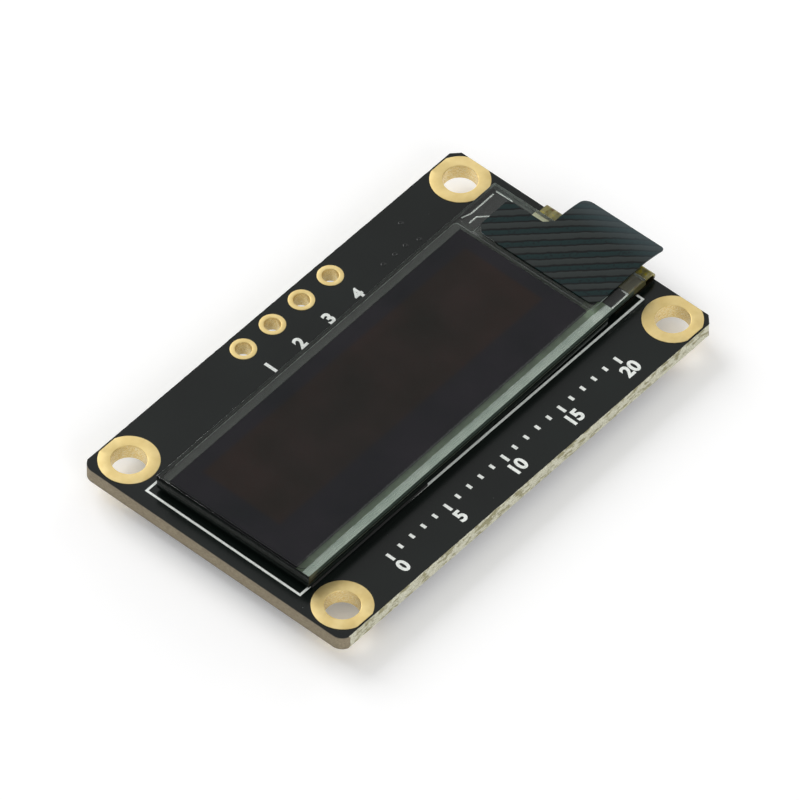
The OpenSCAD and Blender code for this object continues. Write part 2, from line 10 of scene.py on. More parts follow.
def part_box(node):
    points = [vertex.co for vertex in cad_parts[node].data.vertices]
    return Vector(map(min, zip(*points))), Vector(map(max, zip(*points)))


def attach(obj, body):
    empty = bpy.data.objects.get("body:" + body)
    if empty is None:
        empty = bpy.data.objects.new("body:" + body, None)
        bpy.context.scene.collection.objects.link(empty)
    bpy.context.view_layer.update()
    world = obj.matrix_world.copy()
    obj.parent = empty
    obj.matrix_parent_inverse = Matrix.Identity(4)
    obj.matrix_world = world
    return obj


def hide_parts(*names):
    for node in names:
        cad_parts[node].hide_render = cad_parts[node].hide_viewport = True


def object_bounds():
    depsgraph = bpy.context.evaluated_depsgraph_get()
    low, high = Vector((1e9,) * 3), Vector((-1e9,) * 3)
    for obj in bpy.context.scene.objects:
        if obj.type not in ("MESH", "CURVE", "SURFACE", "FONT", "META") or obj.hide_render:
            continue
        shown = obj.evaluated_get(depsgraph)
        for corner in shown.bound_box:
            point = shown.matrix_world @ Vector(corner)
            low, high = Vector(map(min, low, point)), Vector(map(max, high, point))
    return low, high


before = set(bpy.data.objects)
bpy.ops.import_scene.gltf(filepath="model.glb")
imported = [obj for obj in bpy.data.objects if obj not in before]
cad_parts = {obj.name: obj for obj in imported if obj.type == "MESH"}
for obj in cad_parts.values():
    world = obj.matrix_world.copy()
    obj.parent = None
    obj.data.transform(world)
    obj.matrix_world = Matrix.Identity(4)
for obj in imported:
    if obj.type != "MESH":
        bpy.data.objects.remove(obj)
cad_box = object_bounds()

# ---- Circuit board ---------------------------------------------------------------------------
# One millimetre of glass-epoxy laminate under a satin black solder mask. Its short edges are
# routed smooth, and its long edges were snapped along V-scores, which leaves a torn web of
# whitish glass fibre between two clean sloping cuts.

MM = 0.001
SCORE_DEPTH = 0.28
SCORE_WIDTH = 0.05
FIBRE_PITCH = 0.11      # spacing of the upright cuts that let a snapped edge be torn
WEB_LAYERS = 6          # layers that the torn web and each score are cut into for the same
SCORE_LAYERS = 3
TEAR_LIMIT = 0.08
TINY = 1e-3
MASKED, ROUTED, SNAPPED = range(3)
board_low, board_high = (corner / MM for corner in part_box("printed_board"))
SIDE_Y = board_high.y
BOARD_T = board_high.z


def linear(code):
    """An sRGB hex colour as the linear colour that a shader takes."""
    parts = [int(code[i:i + 2], 16) / 255 for i in (1, 3, 5)]
    return [c / 12.92 if c <= 0.04045 else ((c + 0.055) / 1.055) ** 2.4 for c in parts] + [1.0]


def add(tree, kind, sockets=(), **settings):
    """Adds a node: settings are its own, and sockets take a value, or a node or output to link."""
    made = tree.nodes.new("ShaderNode" + kind)
    for name, value in settings.items():
        setattr(made, name, value)
    for name, value in dict(sockets).items():
        if isinstance(value, bpy.types.Node):
            value = value.outputs[0]
        if isinstance(value, bpy.types.NodeSocket):
            tree.links.new(value, made.inputs[name])
        else:
            made.inputs[name].default_value = value
    return made


def new_finish(name):
    """An empty material, as (material, its node tree, object coordinates)."""
    made = bpy.data.materials.new(name)
    made.use_nodes = True
    made.node_tree.nodes.clear()
    return made, made.node_tree, add(made.node_tree, "TexCoord").outputs["Object"]


def show(tree, shader):
    add(tree, "OutputMaterial", {"Surface": shader})


def ramp(tree, value, *stops):
    """A colour ramp through (position, hex or grey) stops."""
    made = add(tree, "ValToRGB", {"Fac": value})
    elements = made.color_ramp.elements
    while len(elements) < len(stops):
        elements.new(0.5)
    for element, (position, tone) in zip(elements, stops):
        element.position = position
        element.color = linear(tone) if isinstance(tone, str) else (tone, tone, tone, 1)
    return made


def shape(form, name, *finishes, crease=35):
    """Makes an object of a form in millimetres, in place, with sharp edges past the crease."""
    bmesh.ops.scale(form, vec=(MM, MM, MM), verts=form.verts)
    mesh = bpy.data.meshes.new(name)
    form.to_mesh(mesh)
    form.free()
    for finish in finishes:
        mesh.materials.append(finish)
    mesh.shade_smooth()
    mesh.set_sharp_from_angle(angle=math.radians(crease))
    made = bpy.data.objects.new(name, mesh)
    made.modifiers.new("flat_faces_stay_flat", "WEIGHTED_NORMAL").keep_sharp = True
    bpy.context.scene.collection.objects.link(made)
    return made


def slice_at(form, point, normal, faces=None, drop=False):
    """Cuts a form along a plane, and drops what is past it if asked. Returns the cut's edges."""
    geometry = form.faces[:] if faces is None else faces
    edges = {e for f in geometry for e in f.edges}
    verts = {v for f in geometry for v in f.verts}
    found = bmesh.ops.bisect_plane(form, geom=geometry + list(edges) + list(verts), dist=1e-5,
                                   plane_co=point, plane_no=normal, clear_outer=drop)
    return [e for e in found["geom_cut"] if isinstance(e, bmesh.types.BMEdge)]


def place_of(tree, place, axis):
    return add(tree, "SeparateXYZ", {"Vector": place}).outputs[axis]


# Solder mask: flood-coated black epoxy, glossy, with a soft orange peel and a few grains of dust.
mask_finish, tree, place = new_finish("black_solder_mask")
peel = add(tree, "TexNoise", {"Vector": place, "Scale": 1 / (0.35 * MM), "Detail": 2.0})
cloud = add(tree, "TexNoise", {"Vector": place, "Scale": 1 / (7 * MM), "Detail": 3.0})
speck = add(tree, "TexVoronoi", {"Vector": place, "Scale": 1 / (1.3 * MM)}, feature="F1")
dust_and_painted_haze = ramp(tree, speck.outputs["Distance"], (0.0, 0.9), (0.018, 0.35), (0.03, 0.0))
tone = ramp(tree, cloud, (0.3, "#080d0b"), (0.7, "#0c1411"))
tone = add(tree, "MixRGB", {"Fac": dust_and_painted_haze, "Color1": tone, "Color2": linear("#6d7370")})
relief = add(tree, "Bump", {"Height": peel, "Distance": 0.0012 * MM, "Strength": 1.0})
gloss = add(tree, "MapRange", {"Value": cloud, "To Min": 0.17, "To Max": 0.23})
show(tree, add(tree, "BsdfPrincipled", {
    "Base Color": tone, "Roughness": gloss, "IOR": 1.5, "Normal": relief}))

# Routed laminate: glass cloth in tan epoxy, cut across, in layers that run along the edge and
# darken at the rims, where the mask laps over.
routed_finish, tree, place = new_finish("routed_laminate")
streak = add(tree, "Mapping", {"Vector": place, "Scale": (1, 1, 4)})
fibres = add(tree, "TexNoise", {"Vector": streak, "Scale": 1 / (0.16 * MM), "Detail": 4.0,
                                "Roughness": 0.7})
height = add(tree, "MapRange", {"Value": place_of(tree, place, "Z"), "From Min": 0.0,
                                "From Max": BOARD_T * MM})
body = ramp(tree, fibres, (0.25, "#5d5342"), (0.5, "#8b7f68"), (0.8, "#b3a88f"))
rim = ramp(tree, height, (0.0, 0.85), (0.05, 0.1), (0.5, 0.0), (0.93, 0.08), (0.965, 1.0))
tone = add(tree, "MixRGB", {"Fac": rim, "Color1": body, "Color2": linear("#221f18")})
relief = add(tree, "Bump", {"Height": fibres, "Distance": 0.02 * MM, "Strength": 1.0})
show(tree, add(tree, "BsdfPrincipled", {
    "Base Color": tone, "Roughness": 0.75, "IOR": 1.5, "Normal": relief}))

# Snapped laminate: torn fibre bundles that scatter light, so that the web is nearly white.
snapped_finish, tree, place = new_finish("snapped_laminate")
streak = add(tree, "Mapping", {"Vector": place, "Scale": (1, 1, 2.6)})
fibres = add(tree, "TexNoise", {"Vector": streak, "Scale": 1 / (0.11 * MM), "Detail": 5.0,
                                "Roughness": 0.75})
tear = add(tree, "TexNoise", {"Vector": streak, "Scale": 1 / (0.6 * MM), "Detail": 2.0})
body = ramp(tree, fibres, (0.3, "#8d8870"), (0.45, "#cbc9b2"), (0.64, "#efeeda"))
stain = ramp(tree, tear, (0.38, "#bfbba4"), (0.52, "#ffffff"))
tone = add(tree, "MixRGB", {"Fac": 1.0, "Color1": body, "Color2": stain}, blend_type="MULTIPLY")
relief = add(tree, "Bump", {"Height": fibres, "Distance": 0.05 * MM, "Strength": 1.0})
show(tree, add(tree, "BsdfPrincipled", {
    "Base Color": tone, "Roughness": 0.85, "IOR": 1.5, "Normal": relief}))

form = bmesh.new()
form.from_mesh(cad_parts["printed_board"].data)
bmesh.ops.scale(form, vec=(1 / MM,) * 3, verts=form.verts)
bmesh.ops.remove_doubles(form, verts=form.verts, dist=1e-4)
bmesh.ops.dissolve_limit(form, angle_limit=math.radians(0.5), verts=form.verts, edges=form.edges)
bmesh.ops.delete(form, geom=[v for v in form.verts if not v.link_faces], context="VERTS")
score_y = SIDE_Y - SCORE_WIDTH


def scored_faces():
    """The faces on the snapped long edges."""
    return [f for f in form.faces if all(abs(v.co.y) > score_y - TINY for v in f.verts)]


for i in range(1, int((board_high.x - board_low.x) / FIBRE_PITCH)):
    slice_at(form, (board_low.x + i * FIBRE_PITCH, 0, 0), (1, 0, 0), scored_faces())
web_t = BOARD_T - 2 * SCORE_DEPTH
for i in range(1, WEB_LAYERS):
    slice_at(form, (0, 0, SCORE_DEPTH + web_t * i / WEB_LAYERS), (0, 0, 1), scored_faces())
for i in range(1, SCORE_LAYERS):
    depth = SCORE_DEPTH * i / SCORE_LAYERS
    for z in (depth, BOARD_T - depth):
        slice_at(form, (0, 0, z), (0, 0, 1), scored_faces())
for face in form.faces:
    face.material_index = MASKED if abs(face.normal.z) >= 0.9 else ROUTED
for face in scored_faces():
    if face.material_index == ROUTED:
        face.material_index = SNAPPED

# The tear: bundles about 0.5 mm long with finer ones on them. The rims by the mask tear least.
for vert in form.verts:
    snapped = any(f.material_index == SNAPPED for f in vert.link_faces)
    if abs(vert.co.y) < score_y - TINY or not snapped:
        continue
    side = math.copysign(1, vert.co.y)
    spot = Vector((vert.co.x / 0.5, side * 7, vert.co.z / 0.35))
    coarse = noise.noise(spot)
    fine = noise.noise(spot * 3.7 + Vector((0, 11, 0)))
    torn = max(0.035 + 0.05 * coarse + 0.045 * fine, 0)
    at_rim = vert.co.z < TINY or vert.co.z > BOARD_T - TINY
    if at_rim:
        torn = 0.3 * torn
    else:
        vert.co.z += 0.03 * noise.noise(spot * 2.1 + Vector((5, 0, 3)))
    vert.co.y -= side * min(torn, TEAR_LIMIT)
board = shape(form, "circuit_board", mask_finish, routed_finish, snapped_finish, crease=30)
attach(board, "root")
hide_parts("printed_board")

# ---- Tented vias -----------------------------------------------------------------------------
# Small plated holes that join the copper layers. The solder mask closes each one, and sinks a
# little in its middle.

VIA_R = 0.16
VIA_DEPTH = 0.05
VIAS = [(6.54, 7.15), (7.56, 7.15), (8.5, 7.15), (9.63, 8.5), (9.4, 6.87)]


def turned(profile, centre, steps):
    """A closed profile of (radius, height) points, spun about an upright axis at centre."""
    form = bmesh.new()
    verts = [form.verts.new((r, 0, z)) for r, z in profile]
    edges = [form.edges.new(pair) for pair in zip(verts, verts[1:] + verts[:1])]
    bmesh.ops.spin(form, geom=verts + edges, cent=(0, 0, 0), axis=(0, 0, 1),
                   angle=math.tau, steps=steps, use_merge=True)
    bmesh.ops.remove_doubles(form, verts=form.verts, dist=1e-4)
    bmesh.ops.recalc_face_normals(form, faces=form.faces)
    bmesh.ops.translate(form, vec=(*centre, 0), verts=form.verts)
    return form


def gather(forms):
    """Joins forms into one."""
    whole = bmesh.new()
    for form in forms:
        part = bpy.data.meshes.new("part")
        form.to_mesh(part)
        form.free()
        whole.from_mesh(part)
        bpy.data.meshes.remove(part)
    return whole


profile = [(0, BOARD_T - VIA_DEPTH), (VIA_R, BOARD_T - VIA_DEPTH), (VIA_R, BOARD_T),
           (VIA_R * 0.9, BOARD_T + 0.010), (VIA_R * 0.66, BOARD_T + 0.014),
           (VIA_R * 0.46, BOARD_T + 0.006), (0, BOARD_T + 0.001)]
form = gather([turned(profile, centre, 24) for centre in VIAS])
vias = shape(form, "tented_vias", mask_finish, crease=60)
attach(vias, "root")

# ---- Plated holes ----------------------------------------------------------------------------
# Copper barrels drilled and plated through the board, with a flat ring on each face. A thin
# satin layer of gold over nickel covers them. The plating rounds over at the hole's rim.

PLATING = 0.035
KNEE = 0.05             # radius of the plating over a hole's rim
FLANGE_EDGE = 0.015     # radius of a flange's outer edge
HOLE_X = 14.52
HOLE_Y = 8.155
HOLE_R = 1.06
RING_R = 1.82
PIN_R = 0.5
PAD_R = 0.8
PIN_PITCH = 2.54

# Immersion gold: satin, pale, with the fine grain of the plated copper under it.
gold_finish, tree, place = new_finish("immersion_gold")
grain = add(tree, "TexNoise", {"Vector": place, "Scale": 1 / (0.07 * MM), "Detail": 4.0})
cloud = add(tree, "TexNoise", {"Vector": place, "Scale": 1 / (0.8 * MM), "Detail": 2.0})
tone = ramp(tree, cloud, (0.3, "#e0c98b"), (0.7, "#ecd89e"))
gloss = add(tree, "MapRange", {"Value": grain, "To Min": 0.52, "To Max": 0.62})
relief = add(tree, "Bump", {"Height": grain, "Distance": 0.003 * MM, "Strength": 1.0})
show(tree, add(tree, "BsdfPrincipled", {
    "Base Color": tone, "Metallic": 1.0, "Roughness": gloss, "Normal": relief}))

# The barrel's plating follows the drilled wall and is uneven. It is the same gold as the flanges,
# painted paler: painted light for the light inside the hole, with painted glints in its grain.
barrel_painted_light_finish, tree, place = new_finish("plated_barrel_painted_light")
stretch = add(tree, "Mapping", {"Vector": place, "Scale": (1, 1, 3)})
grain = add(tree, "TexNoise", {"Vector": stretch, "Scale": 1 / (0.11 * MM), "Detail": 5.0,
                               "Roughness": 0.7})
# Painted light: the barrel's tone is paler than the flange gold, with near-white glints.
tone = ramp(tree, grain, (0.38, "#e6c272"), (0.5, "#fbe6a8"), (0.64, "#fff8dc"))
relief = add(tree, "Bump", {"Height": grain, "Distance": 0.014 * MM, "Strength": 1.0})
show(tree, add(tree, "BsdfPrincipled", {
    "Base Color": tone, "Metallic": 0.75, "Roughness": 0.25, "Normal": relief}))


def arc(cx, cz, r, start, end, steps):
    """Points of an arc in a profile, from one angle in degrees to another."""
    angles = [math.radians(start + (end - start) * i / steps) for i in range(steps + 1)]
    return [(cx + r * math.cos(a), cz + r * math.sin(a)) for a in angles]


def plated_ring(bore, flange, centre):
    """A plated hole: the flanges lie on the board and the barrel lines its hole."""
    low, high, edge = -PLATING, BOARD_T + PLATING, flange - FLANGE_EDGE
    profile = (
        arc(bore + KNEE, high - KNEE, KNEE, 180, 90, 6)
        + arc(edge, high - FLANGE_EDGE, FLANGE_EDGE, 90, 0, 3)
        + [(flange, BOARD_T), (bore + PLATING, BOARD_T), (bore + PLATING, 0), (flange, 0)]
        + arc(edge, low + FLANGE_EDGE, FLANGE_EDGE, 0, -90, 3)
        + arc(bore + KNEE, low + KNEE, KNEE, 270, 180, 6)
        + [(bore, BOARD_T * i / 6) for i in range(1, 6)])
    return turned(profile, centre, 96)


def paint_barrel(form, centre, bore):
    """Gives the faces on the bore's wall, between its two rims, the second finish."""
    for face in form.faces:
        middle = face.calc_center_median()
        reach = math.hypot(middle.x - centre[0], middle.y - centre[1])
        on_wall = reach < bore + 0.1 * KNEE and KNEE < middle.z < BOARD_T - KNEE
        face.material_index = int(on_wall)


for i in range(1, 5):
    low, high = (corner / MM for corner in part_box(f"mounting_ring_{i}"))
    centre = (math.copysign(HOLE_X, low.x), math.copysign(HOLE_Y, low.y))
    form = plated_ring(HOLE_R, RING_R, centre)
    # The flange ends where the board's cut edges come
    for normal, reach in (((1, 0, 0), high.x), ((-1, 0, 0), -low.x),
                          ((0, 1, 0), high.y), ((0, -1, 0), -low.y)):
        cut = slice_at(form, Vector(normal) * (reach - 1e-4), normal, drop=True)
        if cut:
            bmesh.ops.holes_fill(form, edges=cut, sides=0)
    bmesh.ops.recalc_face_normals(form, faces=form.faces)
    paint_barrel(form, centre, HOLE_R)
    ring = shape(form, f"mounting_hole_plating_{i}", gold_finish, barrel_painted_light_finish, crease=40)
    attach(ring, "root")
    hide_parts(f"mounting_ring_{i}")

for i in range(1, 5):
    low, high = (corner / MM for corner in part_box(f"header_ring_{i}"))
    centre = ((low.x + high.x) / 2, (low.y + high.y) / 2)
    form = plated_ring(PIN_R, PAD_R, centre)
    paint_barrel(form, centre, PIN_R)
    ring = shape(form, f"header_hole_plating_{i}", gold_finish, barrel_painted_light_finish, crease=40)
    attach(ring, "root")
    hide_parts(f"header_ring_{i}")

# ---- White print -----------------------------------------------------------------------------
# Epoxy ink screened on the mask: the rectangle that marks the panel's place, a millimetre
# scale and plain numbers.

PRINT_T = 0.02
PRINT_LINE = 0.2
SPREAD = 0.05           # how far the ink ran at the outline's long sides
FIGURE_H = 0.84
FIGURE_WEIGHT = 0.045   # what the strokes are thickened by
FIGURE_SHARE = 0.7      # a figure's height as a share of its font's size
HEADER_BASELINE = 6.34
SCALE_BASELINE = -9.2
SCALE_START = -10

# Screened ink: matt, a little thin and ragged where the mesh left less of it.
ink_finish, tree, place = new_finish("screened_ink")
patch = add(tree, "TexNoise", {"Vector": place, "Scale": 1 / (0.12 * MM), "Detail": 3.0})
tone = ramp(tree, patch, (0.25, "#cdd3cd"), (0.5, "#eff3ee"), (0.8, "#f8faf7"))
relief = add(tree, "Bump", {"Height": patch, "Distance": 0.006 * MM, "Strength": 1.0})
show(tree, add(tree, "BsdfPrincipled", {
    "Base Color": tone, "Roughness": 0.55, "IOR": 1.5, "Normal": relief}))
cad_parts["scale_print"].data.materials.clear()
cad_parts["scale_print"].data.materials.append(ink_finish)

low, high = (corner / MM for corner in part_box("panel_outline_print"))
form = bmesh.new()
bmesh.ops.create_grid(form, x_segments=1, y_segments=1, size=0.5)
bmesh.ops.scale(form, vec=(high.x - low.x, high.y - low.y + 2 * SPREAD, 1), verts=form.verts)
bmesh.ops.translate(form, vec=((low.x + high.x) / 2, (low.y + high.y) / 2, BOARD_T),
                    verts=form.verts)
bmesh.ops.inset_region(form, faces=form.faces[:], thickness=PRINT_LINE, use_boundary=True)
middle = min(form.faces, key=lambda f: (f.calc_center_median() - Vector((0, 0, BOARD_T))).length)
bmesh.ops.delete(form, geom=[middle], context="FACES")
found = bmesh.ops.extrude_face_region(form, geom=form.faces[:], use_keep_orig=True)["geom"]
bmesh.ops.translate(form, vec=(0, 0, PRINT_T),
                    verts=[v for v in found if isinstance(v, bmesh.types.BMVert)])
bmesh.ops.recalc_face_normals(form, faces=form.faces)
outline = shape(form, "panel_outline", ink_finish)
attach(outline, "root")
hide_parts("panel_outline_print")


def printed_numbers(name, baseline, marks):
    """Raised figures on the board, in a row: marks are (number, x)."""
    whole = bmesh.new()
    for number, x in marks:
        curve = bpy.data.curves.new("figure", "FONT")
        curve.body = str(number)
        curve.size = FIGURE_H / FIGURE_SHARE * MM
        curve.align_x = "CENTER"
        curve.offset = FIGURE_WEIGHT * MM
        curve.extrude = PRINT_T / 2 * MM
        figure = bpy.data.objects.new("figure", curve)
        bpy.context.scene.collection.objects.link(figure)
        bpy.context.view_layer.update()
        mesh = bpy.data.meshes.new_from_object(figure)
        spot = Vector((x, baseline, BOARD_T + PRINT_T / 2))
        mesh.transform(Matrix.Translation(spot * MM))
        whole.from_mesh(mesh)
        bpy.data.objects.remove(figure)
        bpy.data.curves.remove(curve)
        bpy.data.meshes.remove(mesh)
    bmesh.ops.scale(whole, vec=(1 / MM,) * 3, verts=whole.verts)
    bmesh.ops.remove_doubles(whole, verts=whole.verts, dist=1e-5)
    return shape(whole, name, ink_finish)


numbers = printed_numbers("header_numbers", HEADER_BASELINE,
                          [(i, (i - 2.5) * PIN_PITCH) for i in range(1, 5)])
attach(numbers, "root")
numbers = printed_numbers("scale_numbers", SCALE_BASELINE,
                          [(mark, SCALE_START + mark) for mark in range(0, 21, 5)])
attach(numbers, "root")

# ---- Panel glass -----------------------------------------------------------------------------
# Two panes of 0.5 mm sheet glass, scribed and broken to size, with their edges seamed. The
# rear pane is taped to the board and has a cavity for the drying sheet. The front pane is
# longer and its end is the ledge that carries the driver chip and the cable's end.

PANEL_X = -0.07
PANEL_Y = -0.1
PANEL_SKEW = math.radians(0.65)
GLASS_L = 30.0
GLASS_W = 11.5
REAR_L = 26.6
SEAM = 0.035            # radius of the panes' edges
RIM = 0.9
CAVITY = 0.28
CAVITY_DRAFT = 0.01
GAP = 0.002             # air between sheets that only lie on each other
CONTACT = 0.0005        # how far bonded faces reach into each other
front_low, front_high = (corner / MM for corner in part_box("front_glass"))
rear_low, rear_high = (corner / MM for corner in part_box("rear_glass"))
TOP_Z = front_high.z
END_X = GLASS_L / 2
NEAR_Y = -GLASS_W / 2
LEDGE_X = REAR_L - END_X


def lay_on_panel(form):
    """Moves a form from the panel's own frame to its place on the board, a little out of square."""
    bmesh.ops.rotate(form, cent=(0, 0, 0), matrix=Matrix.Rotation(PANEL_SKEW, 3, "Z"),
                     verts=form.verts)
    bmesh.ops.translate(form, vec=(PANEL_X, PANEL_Y, 0), verts=form.verts)


def slab(low, high):
    """A block between two corners."""
    form = bmesh.new()
    bmesh.ops.create_cube(form, size=1)
    size = Vector(high) - Vector(low)
    bmesh.ops.scale(form, vec=size, verts=form.verts)
    bmesh.ops.translate(form, vec=(Vector(low) + Vector(high)) / 2, verts=form.verts)
    return form


def seam(form, width, segments=2):
    """Rounds a form's edges."""
    bmesh.ops.bevel(form, geom=form.edges[:], offset=width, offset_type="OFFSET",
                    segments=segments, profile=0.5, affect="EDGES", material=-1)


def inside(tree, value, low, high, soft):
    """1 between two places in millimetres and 0 outside them, with soft sides."""
    rise = add(tree, "MapRange", {"Value": value, "From Min": (low - soft) * MM,
                                  "From Max": (low + soft) * MM}, interpolation_type="SMOOTHSTEP")
    fall = add(tree, "MapRange", {"Value": value, "From Min": (high - soft) * MM,
                                  "From Max": (high + soft) * MM, "To Min": 1.0, "To Max": 0.0},
               interpolation_type="SMOOTHSTEP")
    return add(tree, "Math", {0: rise, 1: fall}, operation="MULTIPLY")


def within(tree, place, x0, x1, y0, y1, soft=0.06):
    """1 inside a rectangle in millimetres and 0 outside it."""
    return add(tree, "Math", {0: inside(tree, place_of(tree, place, "X"), x0, x1, soft),
                              1: inside(tree, place_of(tree, place, "Y"), y0, y1, soft)},
               operation="MULTIPLY")


# Soda-lime sheet glass: clear with a faint green body, and polished faces. Lamps shine
# through it, so that what lies under it is lit.
glass_finish, tree, place = new_finish("sheet_glass")
wave = add(tree, "TexNoise", {"Vector": place, "Scale": 1 / (9 * MM), "Detail": 1.0})
relief = add(tree, "Bump", {"Height": wave, "Distance": 0.01 * MM, "Strength": 1.0})
clear = add(tree, "BsdfPrincipled", {
    "Base Color": linear("#f8fcf9"), "Roughness": 0.0, "IOR": 1.52, "Transmission Weight": 1.0,
    "Normal": relief})
lit = add(tree, "BsdfTransparent", {"Color": linear("#f8fcf9")})
path = add(tree, "LightPath").outputs["Is Shadow Ray"]
show(tree, add(tree, "MixShader", {0: path, 1: clear, 2: lit}))

# Cut edge: scribed and broken glass. It is painted near black, painted shade for the dark inside
# of the pane, with paler specks for chips that catch the light, painted glints. A faint line runs
# where the scribe went in, the near side's top half is painted greyer, painted light, and past the
# sealant the cable's colour is painted in, a painted reflection of the cable.
PAINTED_GREY_SIDE = (-14.9, 20, -8, -4.9)
PAINTED_CABLE_TINT_SIDE = (13.9, 20, -8, -4.9)
cut_edge_painted_shading_finish, tree, place = new_finish("cut_glass_edge_painted_shading")
chip = add(tree, "TexNoise", {"Vector": place, "Scale": 1 / (0.12 * MM), "Detail": 4.0,
                              "Roughness": 0.7})
# Painted shade: the edge is near black, with paler specks as painted glints.
tone = ramp(tree, chip, (0.5, "#070b09"), (0.66, "#0e1512"), (0.78, "#39443d"))
height = add(tree, "MapRange", {"Value": place_of(tree, place, "Z"), "From Min": 1.35 * MM,
                                "From Max": 1.55 * MM})
level = ramp(tree, height, (0.25, 0.0), (0.45, 1.0), (0.55, 1.0), (0.8, 0.0))
tone = add(tree, "MixRGB", {"Fac": level, "Color1": tone, "Color2": linear("#262d28")})
# Painted light on the near side's top half, and a painted cable tint past the sealant.
painted_light_top_half = add(tree, "MapRange", {"Value": place_of(tree, place, "Z"), "From Min": 1.76 * MM,
                               "From Max": 2.0 * MM})
painted_light_top_half = add(tree, "Math", {0: painted_light_top_half, 1: within(tree, place, *PAINTED_GREY_SIDE)}, operation="MULTIPLY")
tone = add(tree, "MixRGB", {"Fac": painted_light_top_half, "Color1": tone, "Color2": linear("#38423b")})
painted_cable_tint = add(tree, "MapRange", {"Value": place_of(tree, place, "Z"), "From Min": 1.7 * MM,
                               "From Max": 1.76 * MM})
painted_cable_tint = add(tree, "Math", {0: painted_cable_tint, 1: within(tree, place, *PAINTED_CABLE_TINT_SIDE)}, operation="MULTIPLY")
tone = add(tree, "MixRGB", {"Fac": painted_cable_tint, "Color1": tone, "Color2": linear("#45432b")})
relief = add(tree, "Bump", {"Height": chip, "Distance": 0.006 * MM, "Strength": 1.0})
show(tree, add(tree, "BsdfPrincipled", {
    "Base Color": tone, "Roughness": 0.12, "IOR": 1.52, "Specular IOR Level": 0.3,
    "Normal": relief}))

# Seamed edge: ground by hand. The far edges are painted pale, a painted glow for the light inside
# the pane, palest at the ledge's end.
seamed_edge_painted_glow_finish, tree, place = new_finish("seamed_glass_edge_painted_glow")
grind = add(tree, "TexNoise", {"Vector": place, "Scale": 1 / (0.15 * MM), "Detail": 4.0})
# Painted glow: the far edges are paler towards the ledge's end.
painted_glow_at_end = add(tree, "MapRange", {"Value": place_of(tree, place, "X"), "From Min": 14.0 * MM,
                                "From Max": 14.7 * MM})
side = ramp(tree, grind, (0.35, "#2c332f"), (0.7, "#4a524d"))
end = ramp(tree, grind, (0.35, "#6f7872"), (0.7, "#aab2ac"))
tone = add(tree, "MixRGB", {"Fac": painted_glow_at_end, "Color1": side, "Color2": end})
show(tree, add(tree, "BsdfPrincipled", {"Base Color": tone, "Roughness": 0.4, "IOR": 1.52}))


def paint_edges(form):
    """Gives a pane's near edges the second finish and its far edges the third."""
    form.normal_update()
    for face in form.faces:
        if abs(face.normal.z) < 0.9:
            face.material_index = 2 if face.normal.x > 0.5 or face.normal.y > 0.5 else 1


# The front pane's lower face is just inside what is bonded to it, so that no air shows between.
form = slab((-END_X, NEAR_Y, front_low.z - CONTACT), (END_X, -NEAR_Y, TOP_Z))
seam(form, SEAM)
paint_edges(form)
lay_on_panel(form)
pane = shape(form, "front_pane", glass_finish, cut_edge_painted_shading_finish, seamed_edge_painted_glow_finish)
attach(pane, "root")
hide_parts("front_glass")

form = slab((-END_X, NEAR_Y, rear_low.z + GAP), (LEDGE_X, -NEAR_Y, rear_high.z - GAP))
seam(form, SEAM)
form.faces.ensure_lookup_table()
top = max(form.faces, key=lambda f: f.calc_center_median().z)
bmesh.ops.inset_region(form, faces=[top], thickness=RIM)
bmesh.ops.inset_region(form, faces=[top], thickness=CAVITY_DRAFT, depth=-CAVITY)
paint_edges(form)
lay_on_panel(form)
pane = shape(form, "rear_pane", glass_finish, cut_edge_painted_shading_finish, cut_edge_painted_shading_finish)
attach(pane, "root")
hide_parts("rear_glass")

# ---- Inside the panel ------------------------------------------------------------------------
# A glue line joins the panes all round. Over the cavity lie the light-emitting layers with
# their metal cathode. Row tracks of sputtered metal run along the near margin to the ledge.

SEAL_Z = front_low.z
TAPE_EDGE = (NEAR_Y - 0.03, NEAR_Y + 0.98)
TAPE_END = -4.55
ROWS = (-5.66, -4.62)
CONTACT_Y = -5.07
ROWS_END = LEDGE_X + 0.55
SEAL_PAINTED_LIGHT_SIDE = (-13.9, 20, -8, -4)
SEALANT_Y = 5.68
CABLE_EDGE = 13.68      # where the sealant meets the cable's bond
CABLE_FAR_Y = 2.66
PALE_RIM = (14.62, 20, -10, 10)

# Cured glue line: a grey-green epoxy filled with glass beads. On the row tracks' side it is
# painted paler, painted light.
seal_finish, tree, place = new_finish("glue_line_painted_light")
beads = add(tree, "TexNoise", {"Vector": place, "Scale": 1 / (0.1 * MM), "Detail": 2.0})
pale = ramp(tree, beads, (0.3, "#2f3529"), (0.7, "#434a39"))
dark = ramp(tree, beads, (0.3, "#161a15"), (0.7, "#242a22"))
# Painted light: the same glue is paler on the row tracks' side.
tone = add(tree, "MixRGB", {"Fac": within(tree, place, *SEAL_PAINTED_LIGHT_SIDE), "Color1": dark,
                            "Color2": pale})
show(tree, add(tree, "BsdfPrincipled", {"Base Color": tone, "Roughness": 0.4, "IOR": 1.5}))

# Drying sheet: a chalky getter, pressed from powder.
chalk_finish, tree, place = new_finish("getter_powder")
powder = add(tree, "TexNoise", {"Vector": place, "Scale": 1 / (0.08 * MM), "Detail": 3.0})
tone = ramp(tree, powder, (0.3, "#c4c4bc"), (0.7, "#dcdcd6"))
show(tree, add(tree, "BsdfPrincipled", {"Base Color": tone, "Roughness": 0.95}))

# Emitting layers: an evaporated aluminium cathode behind organic films, brown through the glass.
emitter_finish, tree, place = new_finish("cathode_and_organics")
film_tone = add(tree, "TexNoise", {"Vector": place, "Scale": 1 / (4 * MM), "Detail": 1.0})
tone = ramp(tree, film_tone, (0.3, "#463836"), (0.7, "#53423d"))
show(tree, add(tree, "BsdfPrincipled", {"Base Color": tone, "Metallic": 0.8, "Roughness": 0.2}))

